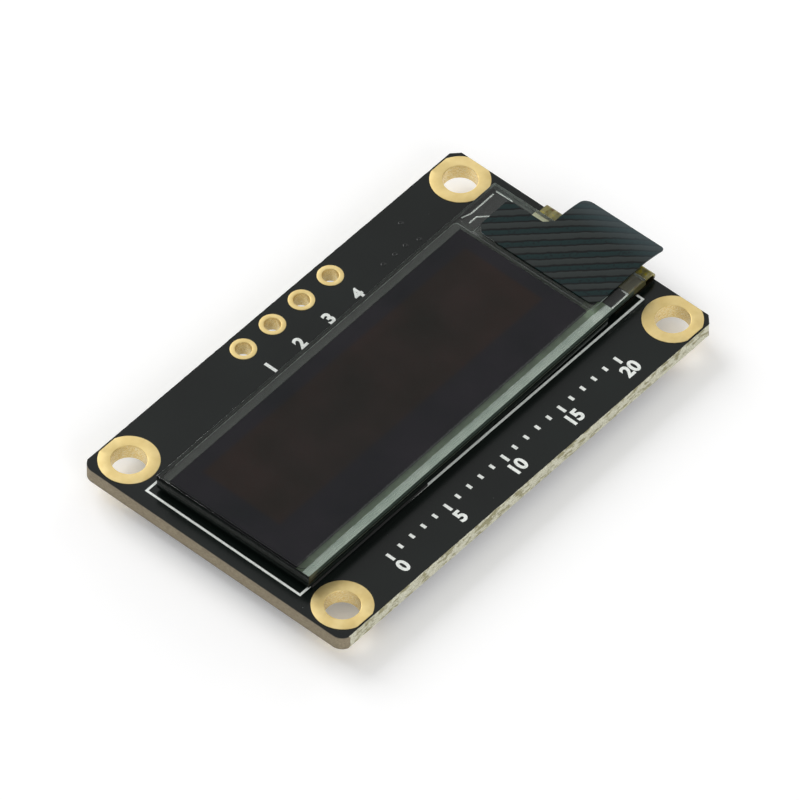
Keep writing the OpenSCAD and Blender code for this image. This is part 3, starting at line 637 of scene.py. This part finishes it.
# Foam tape: black acrylic foam with open cells on its cut edges.
tape_finish, tree, place = new_finish("foam_tape")
cells = add(tree, "TexVoronoi", {"Vector": place, "Scale": 1 / (0.06 * MM)})
relief = add(tree, "Bump", {"Height": cells, "Distance": 0.02 * MM, "Strength": 1.0})
tone = ramp(tree, cells, (0.0, "#101010"), (0.8, "#1f1f1e"))
show(tree, add(tree, "BsdfPrincipled", {
    "Base Color": tone, "Roughness": 0.8, "Normal": relief}))

# Sputtered metal: thin, bright and a little hazy where the glass under it is etched.
metal_finish, tree, place = new_finish("sputtered_metal")
haze = add(tree, "TexNoise", {"Vector": place, "Scale": 1 / (0.09 * MM), "Detail": 3.0})
gloss = add(tree, "MapRange", {"Value": haze, "To Min": 0.15, "To Max": 0.35})
tone = ramp(tree, haze, (0.3, "#c9cfc9"), (0.7, "#e6eae6"))
show(tree, add(tree, "BsdfPrincipled", {
    "Base Color": tone, "Metallic": 1.0, "Roughness": gloss}))


def coat(finish, *nodes):
    """Gives CAD nodes whose shape is right their finish."""
    for node in nodes:
        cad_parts[node].data.materials.clear()
        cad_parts[node].data.materials.append(finish)


coat(seal_finish, "panel_seal")
coat(chalk_finish, "drying_sheet")
coat(emitter_finish, "emitter_layers")
coat(tape_finish, "mounting_tape")

coat(metal_finish, "ledge_tracks")

# On the row tracks' side the tape stands out past the panes for a third of their length, and
# covers the printed outline there.
form = slab((-END_X + 0.3, TAPE_EDGE[0], BOARD_T + PRINT_T + GAP),
            (TAPE_END, TAPE_EDGE[1], rear_low.z - GAP / 2))
seam(form, 0.02)
lay_on_panel(form)
margin = shape(form, "tape_margin", tape_finish)
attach(margin, "root")

# Row tracks: too fine to tell apart, so the band is one satin metal with faint lines along it.
rows_finish, tree, place = new_finish("row_tracks")
line = add(tree, "TexWave", {"Vector": place, "Scale": 1 / (0.5 * MM), "Distortion": 0.4},
           bands_direction="Y")
haze = add(tree, "TexNoise", {"Vector": place, "Scale": 1 / (1.2 * MM), "Detail": 3.0})
lines = ramp(tree, line, (0.0, "#d3e0d5"), (1.0, "#e6efe6"))
patches = ramp(tree, haze, (0.35, "#c4d4c9"), (0.65, "#eaf2ea"))
tone = add(tree, "MixRGB", {"Fac": 0.5, "Color1": lines, "Color2": patches})
show(tree, add(tree, "BsdfPrincipled", {
    "Base Color": tone, "Metallic": 0.75, "Roughness": 0.13}))

# Cathode contacts: under the film's edge the rows run into a dull green diffuse strip, a painted
# reflection that stands in for the light the metal would reflect there.
contact_painted_reflection_finish, tree, place = new_finish("cathode_contacts_painted_reflection")
haze = add(tree, "TexNoise", {"Vector": place, "Scale": 1 / (0.9 * MM), "Detail": 3.0})
tone = ramp(tree, haze, (0.35, "#6f8168"), (0.65, "#84977b"))
show(tree, add(tree, "BsdfPrincipled", {"Base Color": tone, "Roughness": 0.35}))
form = slab((-END_X + 0.06, ROWS[0], SEAL_Z + 0.0004), (ROWS_END, ROWS[1], SEAL_Z + 0.0014))
slice_at(form, (ROWS_END, ROWS[0], 0), (0.93, -0.37, 0), drop=True)
slice_at(form, (0, CONTACT_Y, 0), (0, 1, 0))
# The strip past CONTACT_Y takes the painted reflection finish.
for face in form.faces:
    face.material_index = int(face.calc_center_median().y > CONTACT_Y)
lay_on_panel(form)
rows = shape(form, "row_tracks", rows_finish, contact_painted_reflection_finish)
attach(rows, "root")

# Ledge sealant: a dark cured resin brushed on the ledge's tracks, thin and pale at its end.
resin_finish, tree, place = new_finish("ledge_sealant")
haze = add(tree, "TexNoise", {"Vector": place, "Scale": 1 / (0.5 * MM), "Detail": 3.0})
dark = ramp(tree, haze, (0.3, "#0e0f0e"), (0.7, "#1c1e1c"))
pale = ramp(tree, haze, (0.3, "#3b423d"), (0.7, "#555c57"))
tone = add(tree, "MixRGB", {"Fac": within(tree, place, *PALE_RIM, 0.05), "Color1": dark,
                            "Color2": pale})
show(tree, add(tree, "BsdfPrincipled", {"Base Color": tone, "Roughness": 0.5}))
strokes = []
for x0, x1, y0, y1 in ((LEDGE_X + 0.02, CABLE_EDGE, -SEALANT_Y, -3.6),
                       (LEDGE_X + 0.02, CABLE_EDGE, 3.6, SEALANT_Y),
                       (CABLE_EDGE - 0.02, END_X - 0.03, CABLE_FAR_Y, SEALANT_Y - 0.01)):
    strokes.append(slab((x0, y0, SEAL_Z - 0.02), (x1, y1, SEAL_Z - 0.0002)))
form = gather(strokes)
lay_on_panel(form)
resin = shape(form, "ledge_sealant", resin_finish)
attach(resin, "root")

# ---- Polarizer -------------------------------------------------------------------------------
# A dark circular polarizer, laminated to the front pane. The emitting field shows through it
# as a faint warm patch.

POLARIZER = (-14.95, 10.75)
POLARIZER_HALF = 4.8
POLARIZER_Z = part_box("polarizer")[1].z / MM
FIELD = (-13.3, 9.7, -2.3, 3.6)

# Polarizer: iodine-stained film between clear ones, nearly black, with a mirror gloss.
polarizer_finish, tree, place = new_finish("dark_polarizer")
field = within(tree, place, *FIELD, 0.12)
cloud = add(tree, "TexNoise", {"Vector": place, "Scale": 1 / (6 * MM), "Detail": 2.0})
warm = ramp(tree, cloud, (0.3, "#1b1211"), (0.7, "#231310"))
tone = add(tree, "MixRGB", {"Fac": field, "Color1": linear("#16111a"), "Color2": warm})
show(tree, add(tree, "BsdfPrincipled", {
    "Base Color": tone, "Roughness": 0.04, "IOR": 1.5}))
form = slab((POLARIZER[0], -POLARIZER_HALF, TOP_Z + GAP),
            (POLARIZER[1], POLARIZER_HALF, POLARIZER_Z))
seam(form, 0.012, 1)
lay_on_panel(form)
sheet = shape(form, "polarizer_sheet", polarizer_finish)
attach(sheet, "root")
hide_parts("polarizer")

# ---- Protective film -------------------------------------------------------------------------
# A clear polyester film that keeps the display clean until it is used. It is die-cut wider
# than the polarizer, steps down to the ledge at its end, and carries the pull tab there.

FILM_T = 0.06
FILM_HALF = POLARIZER_HALF + 0.52
STEP_X = POLARIZER[1] + 0.12
SLOPE_X = STEP_X + 0.36
TONGUE_X = SLOPE_X + 1.3
FILM_CORNER = 0.3
FILM_SAG = 0.06         # how much the overhang droops, per square millimetre of reach
PAINTED_HAZE_OVERHANG = (-14.2, 11.3, -8, -4.4)
PAINTED_DARK_END = (-20, -14, -10, 10)
TAB_Y = NEAR_Y + 0.83
TAB_WIDE_Y = TAB_Y + 9.1

# The film's face: clear and glossy, with the slight ripple of a film that was rolled down. Over
# its near overhang a faint pale diffuse layer is mixed in: painted light on the near margin.
film_finish, tree, place = new_finish("clear_film_face")
ripple = add(tree, "TexNoise", {"Vector": place, "Scale": 1 / (5 * MM), "Detail": 2.0})
relief = add(tree, "Bump", {"Height": ripple, "Distance": 0.012 * MM, "Strength": 1.0})
tilt = add(tree, "LayerWeight", {"Blend": 0.5, "Normal": relief}).outputs["Facing"]
steep = add(tree, "Math", {0: tilt, 1: 5.0}, operation="POWER")
mirror = add(tree, "MapRange", {"Value": steep, "To Min": 0.045, "To Max": 1.0})
through = add(tree, "BsdfTransparent", {"Color": linear("#fafcfa")})
sheen = add(tree, "BsdfGlossy", {"Color": (1, 1, 1, 1), "Roughness": 0.04, "Normal": relief})
film = add(tree, "MixShader", {0: mirror, 1: through, 2: sheen})
# Painted light: a faint pale diffuse layer over the near overhang.
dust_and_painted_haze = add(tree, "Math", {0: within(tree, place, *PAINTED_HAZE_OVERHANG), 1: 0.02}, operation="MULTIPLY")
haze = add(tree, "BsdfDiffuse", {"Color": linear("#dfeadf")})
show(tree, add(tree, "MixShader", {0: dust_and_painted_haze, 1: film, 2: haze}))

# Where it is stuck down, it is one with the glossy sheet under it, and only passes light.
under_finish, tree, place = new_finish("clear_film_back")
smear = add(tree, "TexNoise", {"Vector": place, "Scale": 1 / (3 * MM), "Detail": 2.0})
tone = ramp(tree, smear, (0.3, "#f6f9f7"), (0.7, "#fcfdfc"))
show(tree, add(tree, "BsdfTransparent", {"Color": tone}))

# Its cut edge is painted as a thin pale line, a painted highlight for the light it gathers from
# inside the film, and painted dark at the end that has no light to gather.
film_rim_highlight_finish, tree, place = new_finish("film_edge_painted_highlight")
nick = add(tree, "TexNoise", {"Vector": place, "Scale": 1 / (0.3 * MM), "Detail": 4.0})
tone = ramp(tree, nick, (0.35, "#6f7a74"), (0.6, "#b4beb8"))
# Painted shade: the end of the film's edge is darkened.
tone = add(tree, "MixRGB", {"Fac": within(tree, place, *PAINTED_DARK_END), "Color1": tone,
                            "Color2": linear("#2c312e")})
show(tree, add(tree, "BsdfPrincipled", {"Base Color": tone, "Roughness": 0.35}))


def sheet_between(x0, x1, y0, y1):
    """A flat rectangular face at height 0."""
    form = bmesh.new()
    bmesh.ops.create_grid(form, x_segments=1, y_segments=1, size=0.5)
    bmesh.ops.scale(form, vec=(x1 - x0, y1 - y0, 1), verts=form.verts)
    bmesh.ops.translate(form, vec=((x0 + x1) / 2, (y0 + y1) / 2, 0), verts=form.verts)
    return form


def round_corners(form, radius, *places):
    """Rounds the corners of a flat sheet that are at these places."""
    corners = [v for v in form.verts
               if any(math.hypot(v.co.x - x, v.co.y - y) < TINY for x, y in places)]
    bmesh.ops.bevel(form, geom=corners, offset=radius, offset_type="OFFSET",
                    segments=6, profile=0.5, affect="VERTICES", material=-1)


def thicken(form, amount):
    """Makes a slab of a flat sheet, upwards, and closes its sides."""
    found = bmesh.ops.extrude_face_region(form, geom=form.faces[:], use_keep_orig=True)["geom"]
    bmesh.ops.translate(form, vec=(0, 0, amount),
                        verts=[v for v in found if isinstance(v, bmesh.types.BMVert)])
    bmesh.ops.recalc_face_normals(form, faces=form.faces)


film_end = STEP_X + 0.12
form = sheet_between(-END_X, TONGUE_X, -FILM_HALF, FILM_HALF)
slice_at(form, (film_end, 0, 0), (1, 0, 0))
slice_at(form, (0, TAB_Y, 0), (0, 1, 0))
slice_at(form, (0, TAB_WIDE_Y, 0), (0, 1, 0))
off_tongue = [f for f in form.faces if f.calc_center_median().x > film_end
              and not TAB_Y < f.calc_center_median().y < TAB_WIDE_Y]
bmesh.ops.delete(form, geom=off_tongue, context="FACES")
round_corners(form, FILM_CORNER, (-END_X, -FILM_HALF), (-END_X, FILM_HALF),
              (film_end, -FILM_HALF), (film_end, FILM_HALF))
thicken(form, FILM_T)
# Cut across, so that it can droop along its length and bend down its slope
for i in range(1, 24):
    slice_at(form, (-END_X + i * (STEP_X + END_X) / 24, 0, 0), (1, 0, 0))
for i in range(7):
    slice_at(form, (STEP_X + (SLOPE_X - STEP_X) * i / 6, 0, 0), (1, 0, 0))
for y in (-POLARIZER_HALF - 0.1, -POLARIZER_HALF, 0, POLARIZER_HALF, POLARIZER_HALF + 0.1):
    slice_at(form, (0, y, 0), (0, 1, 0))
form.normal_update()
for face in form.faces:
    middle = face.calc_center_median()
    stuck = abs(middle.y) < POLARIZER_HALF and middle.x < POLARIZER[1]
    face.material_index = (2 if abs(face.normal.z) < 0.5 else
                           int(face.normal.z < 0 or stuck))
for vert in form.verts:
    down = min(max((vert.co.x - STEP_X) / (SLOPE_X - STEP_X), 0), 1)
    down = down * down * (3 - 2 * down)
    vert.co.z += GAP + POLARIZER_Z + (TOP_Z - POLARIZER_Z) * down
    over = max(abs(vert.co.y) - POLARIZER_HALF, 0) * (1 - down)
    vert.co.z -= FILM_SAG * over ** 2 * (0.5 + 0.5 * noise.noise(vert.co / 3))
lay_on_panel(form)
film = shape(form, "clear_film", film_finish, under_finish, film_rim_highlight_finish, crease=50)
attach(film, "root")
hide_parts("protective_film")

# ---- Pull tab --------------------------------------------------------------------------------
# A tab of grey polyester, printed with diagonal bands, that is stuck to the film's tongue.
# It is wide over the ledge, narrower past it, and its free end curls down.

TAB_T = 0.08
TAB_X = SLOPE_X + 0.14
TAB_WIDE_X = TAB_X + 3.0
TAB_TIP_X = TAB_WIDE_X + 3.4
TAB_NARROW_Y = TAB_Y + 6.0
TAB_CUT = 0.5
TAB_CORNER = 0.28
TAB_TIP_CORNER = 0.6
CURL_R = 9.0
CURL_SPAN = 2.8         # length of the curled end, and the steps that it is bent in
CURL_STEPS = 40
TAB_Z = TOP_Z + FILM_T
BAND_PITCH = 1.41
BAND_START = 0.45

# The print: teal and grey bands at 45 degrees, with darker, slightly run borders and small
# blots. Towards its free end it is painted paler, a painted sheen of the curled end.
tab_finish, tree, place = new_finish("banded_tab_film")
x, y = place_of(tree, place, "X"), place_of(tree, place, "Y")
wander = add(tree, "TexNoise", {"Vector": place, "Scale": 1 / (0.5 * MM), "Detail": 4.0})
across = add(tree, "Math", {0: x, 1: y}, operation="ADD")
across = add(tree, "Math", {0: across, 1: BAND_START * MM}, operation="SUBTRACT")
drift = add(tree, "MapRange", {"Value": wander, "To Min": -0.13 * MM, "To Max": 0.13 * MM})
across = add(tree, "Math", {0: across, 1: drift}, operation="ADD")
turns = add(tree, "Math", {0: across, 1: 1 / (BAND_PITCH * MM)}, operation="MULTIPLY")
phase = add(tree, "Math", {0: turns}, operation="FRACT")
bands = ramp(tree, phase, (0.0, "#000304"), (0.08, "#000304"), (0.13, "#0a2021"), (0.42, "#0c2626"),
             (0.48, "#000304"), (0.55, "#000304"), (0.62, "#262b2a"), (0.95, "#2b3130"))
blot = add(tree, "TexNoise", {"Vector": place, "Scale": 1 / (0.22 * MM), "Detail": 3.0})
blots = ramp(tree, blot, (0.56, 0.0), (0.64, 0.8))
in_band = ramp(tree, phase, (0.05, 0.0), (0.1, 1.0), (0.46, 1.0), (0.5, 0.0))
blots = add(tree, "MixRGB", {"Fac": 1.0, "Color1": blots, "Color2": in_band},
            blend_type="MULTIPLY")
tone = add(tree, "MixRGB", {"Fac": blots, "Color1": bands, "Color2": linear("#041013")})
# Painted sheen: the bands are paled towards the free end.
painted_end_sheen = add(tree, "MapRange", {"Value": x, "From Min": 15.6 * MM, "From Max": 17.9 * MM,
                             "To Max": 0.55})
tone = add(tree, "MixRGB", {"Fac": painted_end_sheen, "Color1": tone, "Color2": linear("#2c4146")})
relief = add(tree, "Bump", {"Height": wander, "Distance": 0.006 * MM, "Strength": 1.0})
show(tree, add(tree, "BsdfPrincipled", {
    "Base Color": tone, "Roughness": 0.28, "IOR": 1.5, "Specular IOR Level": 0.3,
    "Normal": relief}))

# The narrow strip is cut first. Its side is then drawn out to the wide part, the notch between
# the two is cut off, and the corners at the film's end are clipped.
notch_x = TAB_WIDE_X + TAB_CUT
form = sheet_between(TAB_X, TAB_TIP_X, TAB_Y, TAB_NARROW_Y)
round_corners(form, TAB_CORNER, (TAB_TIP_X, TAB_Y))
round_corners(form, TAB_TIP_CORNER, (TAB_TIP_X, TAB_NARROW_Y))
slice_at(form, (notch_x, 0, 0), (1, 0, 0))
side = [e for e in form.edges
        if all(abs(v.co.y - TAB_NARROW_Y) < TINY and v.co.x < notch_x + TINY for v in e.verts)]
grown = bmesh.ops.extrude_edge_only(form, edges=side)["geom"]
bmesh.ops.translate(form, vec=(0, TAB_WIDE_Y - TAB_NARROW_Y, 0),
                    verts=[v for v in grown if isinstance(v, bmesh.types.BMVert)])
slice_at(form, (TAB_WIDE_X, 0, 0), (1, 0, 0))
slice_at(form, (notch_x, TAB_NARROW_Y, 0), (1, 1, 0))
notch = []
for face in form.faces:
    x, y, z = face.calc_center_median()
    if x > TAB_WIDE_X and y > TAB_NARROW_Y and x + y > notch_x + TAB_NARROW_Y:
        notch.append(face)
bmesh.ops.delete(form, geom=notch, context="FACES")
slice_at(form, (TAB_X, TAB_Y + TAB_CUT, 0), (-1, -1, 0), drop=True)
slice_at(form, (TAB_X, TAB_WIDE_Y - TAB_CUT, 0), (-1, 1, 0), drop=True)
bmesh.ops.recalc_face_normals(form, faces=form.faces)
thicken(form, TAB_T)
for i in range(CURL_STEPS):
    slice_at(form, (END_X + CURL_SPAN * i / CURL_STEPS, 0, 0), (1, 0, 0))
for i in range(1, 12):
    slice_at(form, (0, TAB_Y + i * 0.5, 0), (0, 1, 0))
for vert in form.verts:
    past = vert.co.x - END_X
    radius = CURL_R + vert.co.z
    if past > 0:
        vert.co.x = END_X + radius * math.sin(past / CURL_R)
        vert.co.z = radius * math.cos(past / CURL_R) - CURL_R
    vert.co.z += TAB_Z
lay_on_panel(form)
tab = shape(form, "striped_pull_tab", tab_finish, crease=50)
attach(tab, "root")
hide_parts("pull_tab")

# ---- Flex cable ------------------------------------------------------------------------------
# An amber polyimide film with copper ways, bonded under the ledge, folded round its end and
# soldered to the board below.

CABLE_W = 8.1
CABLE_T = 0.12
CABLE_Y = NEAR_Y + 0.27
CABLE_BOND = 1.3        # how far it reaches under the ledge
CABLE_REACH = 1.2       # how far the fold stands out past the glass
CABLE_RUN = 3.6         # from the outside of the fold to its soldered end
WAY_PITCH = 0.56
cable_low, cable_high = (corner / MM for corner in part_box("flex_cable"))
FOLD_R = (cable_high.z - cable_low.z) / 2
FOLD_X = END_X + CABLE_REACH - FOLD_R

# Polyimide over copper: amber and glossy, with the ways showing as paler lines. The lower run is
# painted nearly black, painted shade for the dark under the ledge.
flex_finish, tree, place = new_finish("polyimide_over_copper")
y = place_of(tree, place, "Y")
ways = add(tree, "Math", {0: y, 1: 1 / (WAY_PITCH * MM)}, operation="MULTIPLY")
phase = add(tree, "Math", {0: ways}, operation="FRACT")
lines = ramp(tree, phase, (0.2, "#4e4a22"), (0.27, "#8d8553"), (0.7, "#978d5a"),
             (0.78, "#4e4a22"))
mottle = add(tree, "TexNoise", {"Vector": place, "Scale": 1 / (0.5 * MM), "Detail": 3.0})
tint = ramp(tree, mottle, (0.36, "#6a4a1c"), (0.46, "#8a8550"), (0.56, "#93906a"),
            (0.64, "#c2b320"))
tone = add(tree, "MixRGB", {"Fac": 0.6, "Color1": lines, "Color2": tint})
# Painted shade: below the ledge the cable's colour goes to nearly black.
low = add(tree, "MapRange", {"Value": place_of(tree, place, "Z"), "From Min": 1.25 * MM,
                             "From Max": 1.4 * MM, "To Min": 1.0, "To Max": 0.0})
tone = add(tree, "MixRGB", {"Fac": low, "Color1": tone, "Color2": linear("#1a170c")})
relief = add(tree, "Bump", {"Height": mottle, "Distance": 0.01 * MM, "Strength": 1.0})
show(tree, add(tree, "BsdfPrincipled", {
    "Base Color": tone, "Metallic": 0.35, "Roughness": 0.22, "IOR": 1.6, "Normal": relief}))

form = slab((END_X - CABLE_BOND, CABLE_Y, cable_high.z - CABLE_T),
            (FOLD_X, CABLE_Y + CABLE_W, cable_high.z))
end = max(form.faces, key=lambda f: f.calc_center_median().x)
bent = bmesh.ops.spin(form, geom=[end, *end.edges], cent=(FOLD_X, 0, cable_high.z - FOLD_R),
                      axis=(0, 1, 0), angle=math.pi, steps=20)["geom_last"]
grown = bmesh.ops.extrude_face_region(form, geom=bent)["geom"]
bmesh.ops.translate(form, vec=(FOLD_R - CABLE_RUN, 0, 0),
                    verts=[v for v in grown if isinstance(v, bmesh.types.BMVert)])
bmesh.ops.remove_doubles(form, verts=form.verts, dist=1e-4)
bmesh.ops.recalc_face_normals(form, faces=form.faces)
lay_on_panel(form)
flex = shape(form, "folded_flex_cable", flex_finish, crease=50)
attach(flex, "root")
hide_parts("flex_cable")

# ---- Driver chip -----------------------------------------------------------------------------
# A bare chip, face down on the ledge's underside in a conductive film, with its ground back
# showing. The same kind of film bonds the cable's end.

# Ground silicon: grey, with the fine swirls of the grinding wheel.
silicon_finish, tree, place = new_finish("ground_silicon")
swirl = add(tree, "TexNoise", {"Vector": place, "Scale": 1 / (0.1 * MM), "Detail": 4.0})
tone = ramp(tree, swirl, (0.3, "#37383d"), (0.7, "#4b4d53"))
show(tree, add(tree, "BsdfPrincipled", {"Base Color": tone, "Metallic": 0.6, "Roughness": 0.3}))

# Conductive film: an olive adhesive full of tiny metal beads, painted pale in one spot on the
# cable's bond, a painted highlight.
PAINTED_HIGHLIGHT_SPOT = (14.55, 14.86, 1.6, 2.8)
bond_finish, tree, place = new_finish("conductive_film")
beads = add(tree, "TexVoronoi", {"Vector": place, "Scale": 1 / (0.05 * MM)})
tone = ramp(tree, beads, (0.0, "#4f4b38"), (0.6, "#6f6c52"))
# Painted highlight: one pale spot on the cable's bond.
tone = add(tree, "MixRGB", {"Fac": within(tree, place, *PAINTED_HIGHLIGHT_SPOT, 0.04), "Color1": tone,
                            "Color2": linear("#d9d8b4")})
show(tree, add(tree, "BsdfPrincipled", {"Base Color": tone, "Roughness": 0.5}))
coat(silicon_finish, "driver_chip")
coat(bond_finish, "chip_bond", "cable_bond")

# ---- Parts on the back -----------------------------------------------------------------------
# Surface-mount parts, soldered in two rows: ceramic capacitors and resistors with tinned
# ends, and a small regulator with three leads.

CHIP_END = 0.36
CHIP_SINK = 0.02        # how far the ceramic lies below its metal ends

# Reflowed tin solder: bright metal with a slightly uneven skin.
tin_finish, tree, place = new_finish("reflowed_tin")
grain = add(tree, "TexNoise", {"Vector": place, "Scale": 1 / (0.12 * MM), "Detail": 4.0})
tone = ramp(tree, grain, (0.3, "#b5b7b4"), (0.7, "#d9dad7"))
gloss = add(tree, "MapRange", {"Value": grain, "To Min": 0.2, "To Max": 0.4})
relief = add(tree, "Bump", {"Height": grain, "Distance": 0.01 * MM, "Strength": 1.0})
show(tree, add(tree, "BsdfPrincipled", {
    "Base Color": tone, "Metallic": 1.0, "Roughness": gloss, "Normal": relief}))

# Capacitor ceramic: sintered barium titanate, tan and satin.
cap_finish, tree, place = new_finish("capacitor_ceramic")
grain = add(tree, "TexNoise", {"Vector": place, "Scale": 1 / (0.1 * MM), "Detail": 3.0})
tone = ramp(tree, grain, (0.3, "#a07d55"), (0.7, "#b8966b"))
show(tree, add(tree, "BsdfPrincipled", {"Base Color": tone, "Roughness": 0.45}))

# Resistor glaze: black glass over the resistive film.
glaze_finish, tree, place = new_finish("resistor_glaze")
grain = add(tree, "TexNoise", {"Vector": place, "Scale": 1 / (0.2 * MM), "Detail": 3.0})
tone = ramp(tree, grain, (0.3, "#131315"), (0.7, "#1f1f22"))
show(tree, add(tree, "BsdfPrincipled", {"Base Color": tone, "Roughness": 0.3}))

# Moulded epoxy: filled with silica and moulded against a spark-eroded face, so it is matt.
epoxy_finish, tree, place = new_finish("moulded_epoxy")
grain = add(tree, "TexNoise", {"Vector": place, "Scale": 1 / (0.08 * MM), "Detail": 3.0})
tone = ramp(tree, grain, (0.3, "#1b1b1b"), (0.7, "#272727"))
relief = add(tree, "Bump", {"Height": grain, "Distance": 0.01 * MM, "Strength": 1.0})
show(tree, add(tree, "BsdfPrincipled", {
    "Base Color": tone, "Roughness": 0.6, "Normal": relief}))


def chip_part(name, node, finish, axis):
    """A ceramic chip with a metal cap at each end of an axis, in the place of a CAD node."""
    low, high = (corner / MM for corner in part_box(node))
    sink = Vector((CHIP_SINK,) * 3)
    body = slab(low + sink, high - sink)
    seam(body, 0.02)
    cap_high, cap_low = high.copy(), low.copy()
    cap_high[axis] = low[axis] + CHIP_END
    cap_low[axis] = high[axis] - CHIP_END
    caps = [slab(low, cap_high), slab(cap_low, high)]
    for cap in caps:
        seam(cap, 0.06, 3)
        for face in cap.faces:
            face.material_index = 1
    made = shape(gather([body, *caps]), name, finish, tin_finish)
    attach(made, "root")
    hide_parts(node)


for i in range(1, 4):
    chip_part(f"supply_capacitor_{i}", f"large_capacitor_{i}", cap_finish, 0)
for i in range(1, 5):
    chip_part(f"pump_capacitor_{i}", f"small_capacitor_{i}", cap_finish, 1)
for i in range(1, 6):
    chip_part(f"chip_resistor_{i}", f"resistor_{i}", glaze_finish, 1)
coat(epoxy_finish, "regulator_body")
coat(tin_finish, "regulator_leads", "part_solder", "cable_solder")
coat(gold_finish, "part_pads", "cable_pads")

# ---- Table, lamps and camera -----------------------------------------------------------------
# The module lies on a matt white table in a pale room. A large soft lamp stands behind it, and
# two smaller ones to its right and in front.

FLOOR_Z = cad_box[0].z / MM
TABLE_HALF = 1500
TABLE_LIFT = 0.15       # what the camera sees of the table on top of its own light

# Matt white laminate. It is lifted towards white where it is seen, and keeps its shadow.
sheet_finish, tree, place = new_finish("white_table")
paper = add(tree, "BsdfDiffuse", {"Color": (0.93, 0.93, 0.93, 1)})
path = add(tree, "LightPath")
seen = add(tree, "Math", {0: path.outputs["Is Camera Ray"], 1: path.outputs["Is Glossy Ray"]},
           operation="MAXIMUM")
seen = add(tree, "Math", {0: seen, 1: path.outputs["Is Transmission Ray"]}, operation="MAXIMUM")
lift = add(tree, "Math", {0: seen, 1: TABLE_LIFT}, operation="MULTIPLY")
glow = add(tree, "Emission", {"Color": (1, 1, 1, 1), "Strength": lift})
show(tree, add(tree, "AddShader", {0: paper, 1: glow}))
form = bmesh.new()
bmesh.ops.create_grid(form, x_segments=1, y_segments=1, size=TABLE_HALF)
bmesh.ops.translate(form, vec=(0, 0, FLOOR_Z), verts=form.verts)
table = shape(form, "white_table", sheet_finish)

world = bpy.data.worlds.new("soft_room")
bpy.context.scene.world = world
world.use_nodes = True
tree = world.node_tree
tree.nodes.clear()
way = add(tree, "TexCoord").outputs["Generated"]
room = ramp(tree, place_of(tree, way, "Z"), (0.0, 0.85), (0.35, 0.7), (0.65, 0.47),
            (0.85, 0.42), (1.0, 0.45))
add(tree, "OutputWorld", {"Surface": add(tree, "Background", {"Color": room, "Strength": 1.0})})


def lamp(name, towards, distance, size, radiance):
    """A square soft lamp that looks at the module, as bright to the eye as radiance says."""
    light = bpy.data.lights.new(name, "AREA")
    light.size = size
    light.energy = radiance * math.pi * size ** 2
    made = bpy.data.objects.new(name, light)
    direction = Vector(towards).normalized()
    made.matrix_world = (Matrix.Translation(direction * distance)
                         @ direction.to_track_quat("Z", "Y").to_matrix().to_4x4())
    bpy.context.scene.collection.objects.link(made)


lamp("back_lamp", (0.08, 0.8, 0.6), 0.5, 0.34, 3.9)
lamp("side_lamp", (0.95, 0.05, 0.34), 0.5, 0.24, 1.6)
lamp("front_lamp", (-0.35, -0.82, 0.45), 0.5, 0.3, 2.3)

# A long lens, a little rolled, from the near left
AIM = Vector((-0.695, -0.438, 1.0)) * MM
AZIMUTH, ELEVATION, ROLL = (math.radians(a) for a in (-49.889, 49.077, 1.315))
DISTANCE = 764.365 * MM
FOCAL_LENGTH = 596.4
SENSOR = 36
back = Vector((math.sin(AZIMUTH) * math.cos(ELEVATION), -math.cos(AZIMUTH) * math.cos(ELEVATION),
               math.sin(ELEVATION)))
flat_right = (-back).cross(Vector((0, 0, 1))).normalized()
flat_up = flat_right.cross(-back)
right = math.cos(ROLL) * flat_right + math.sin(ROLL) * flat_up
up = math.cos(ROLL) * flat_up - math.sin(ROLL) * flat_right
view = bpy.data.cameras.new("view")
view.lens = FOCAL_LENGTH
view.sensor_width = SENSOR
camera = bpy.data.objects.new("view", view)
camera.matrix_world = Matrix.Translation(AIM + back * DISTANCE) @ Matrix(
    (right, up, back)).transposed().to_4x4()
bpy.context.scene.collection.objects.link(camera)
bpy.context.scene.camera = camera
bpy.context.scene.view_settings.view_transform = "Standard"
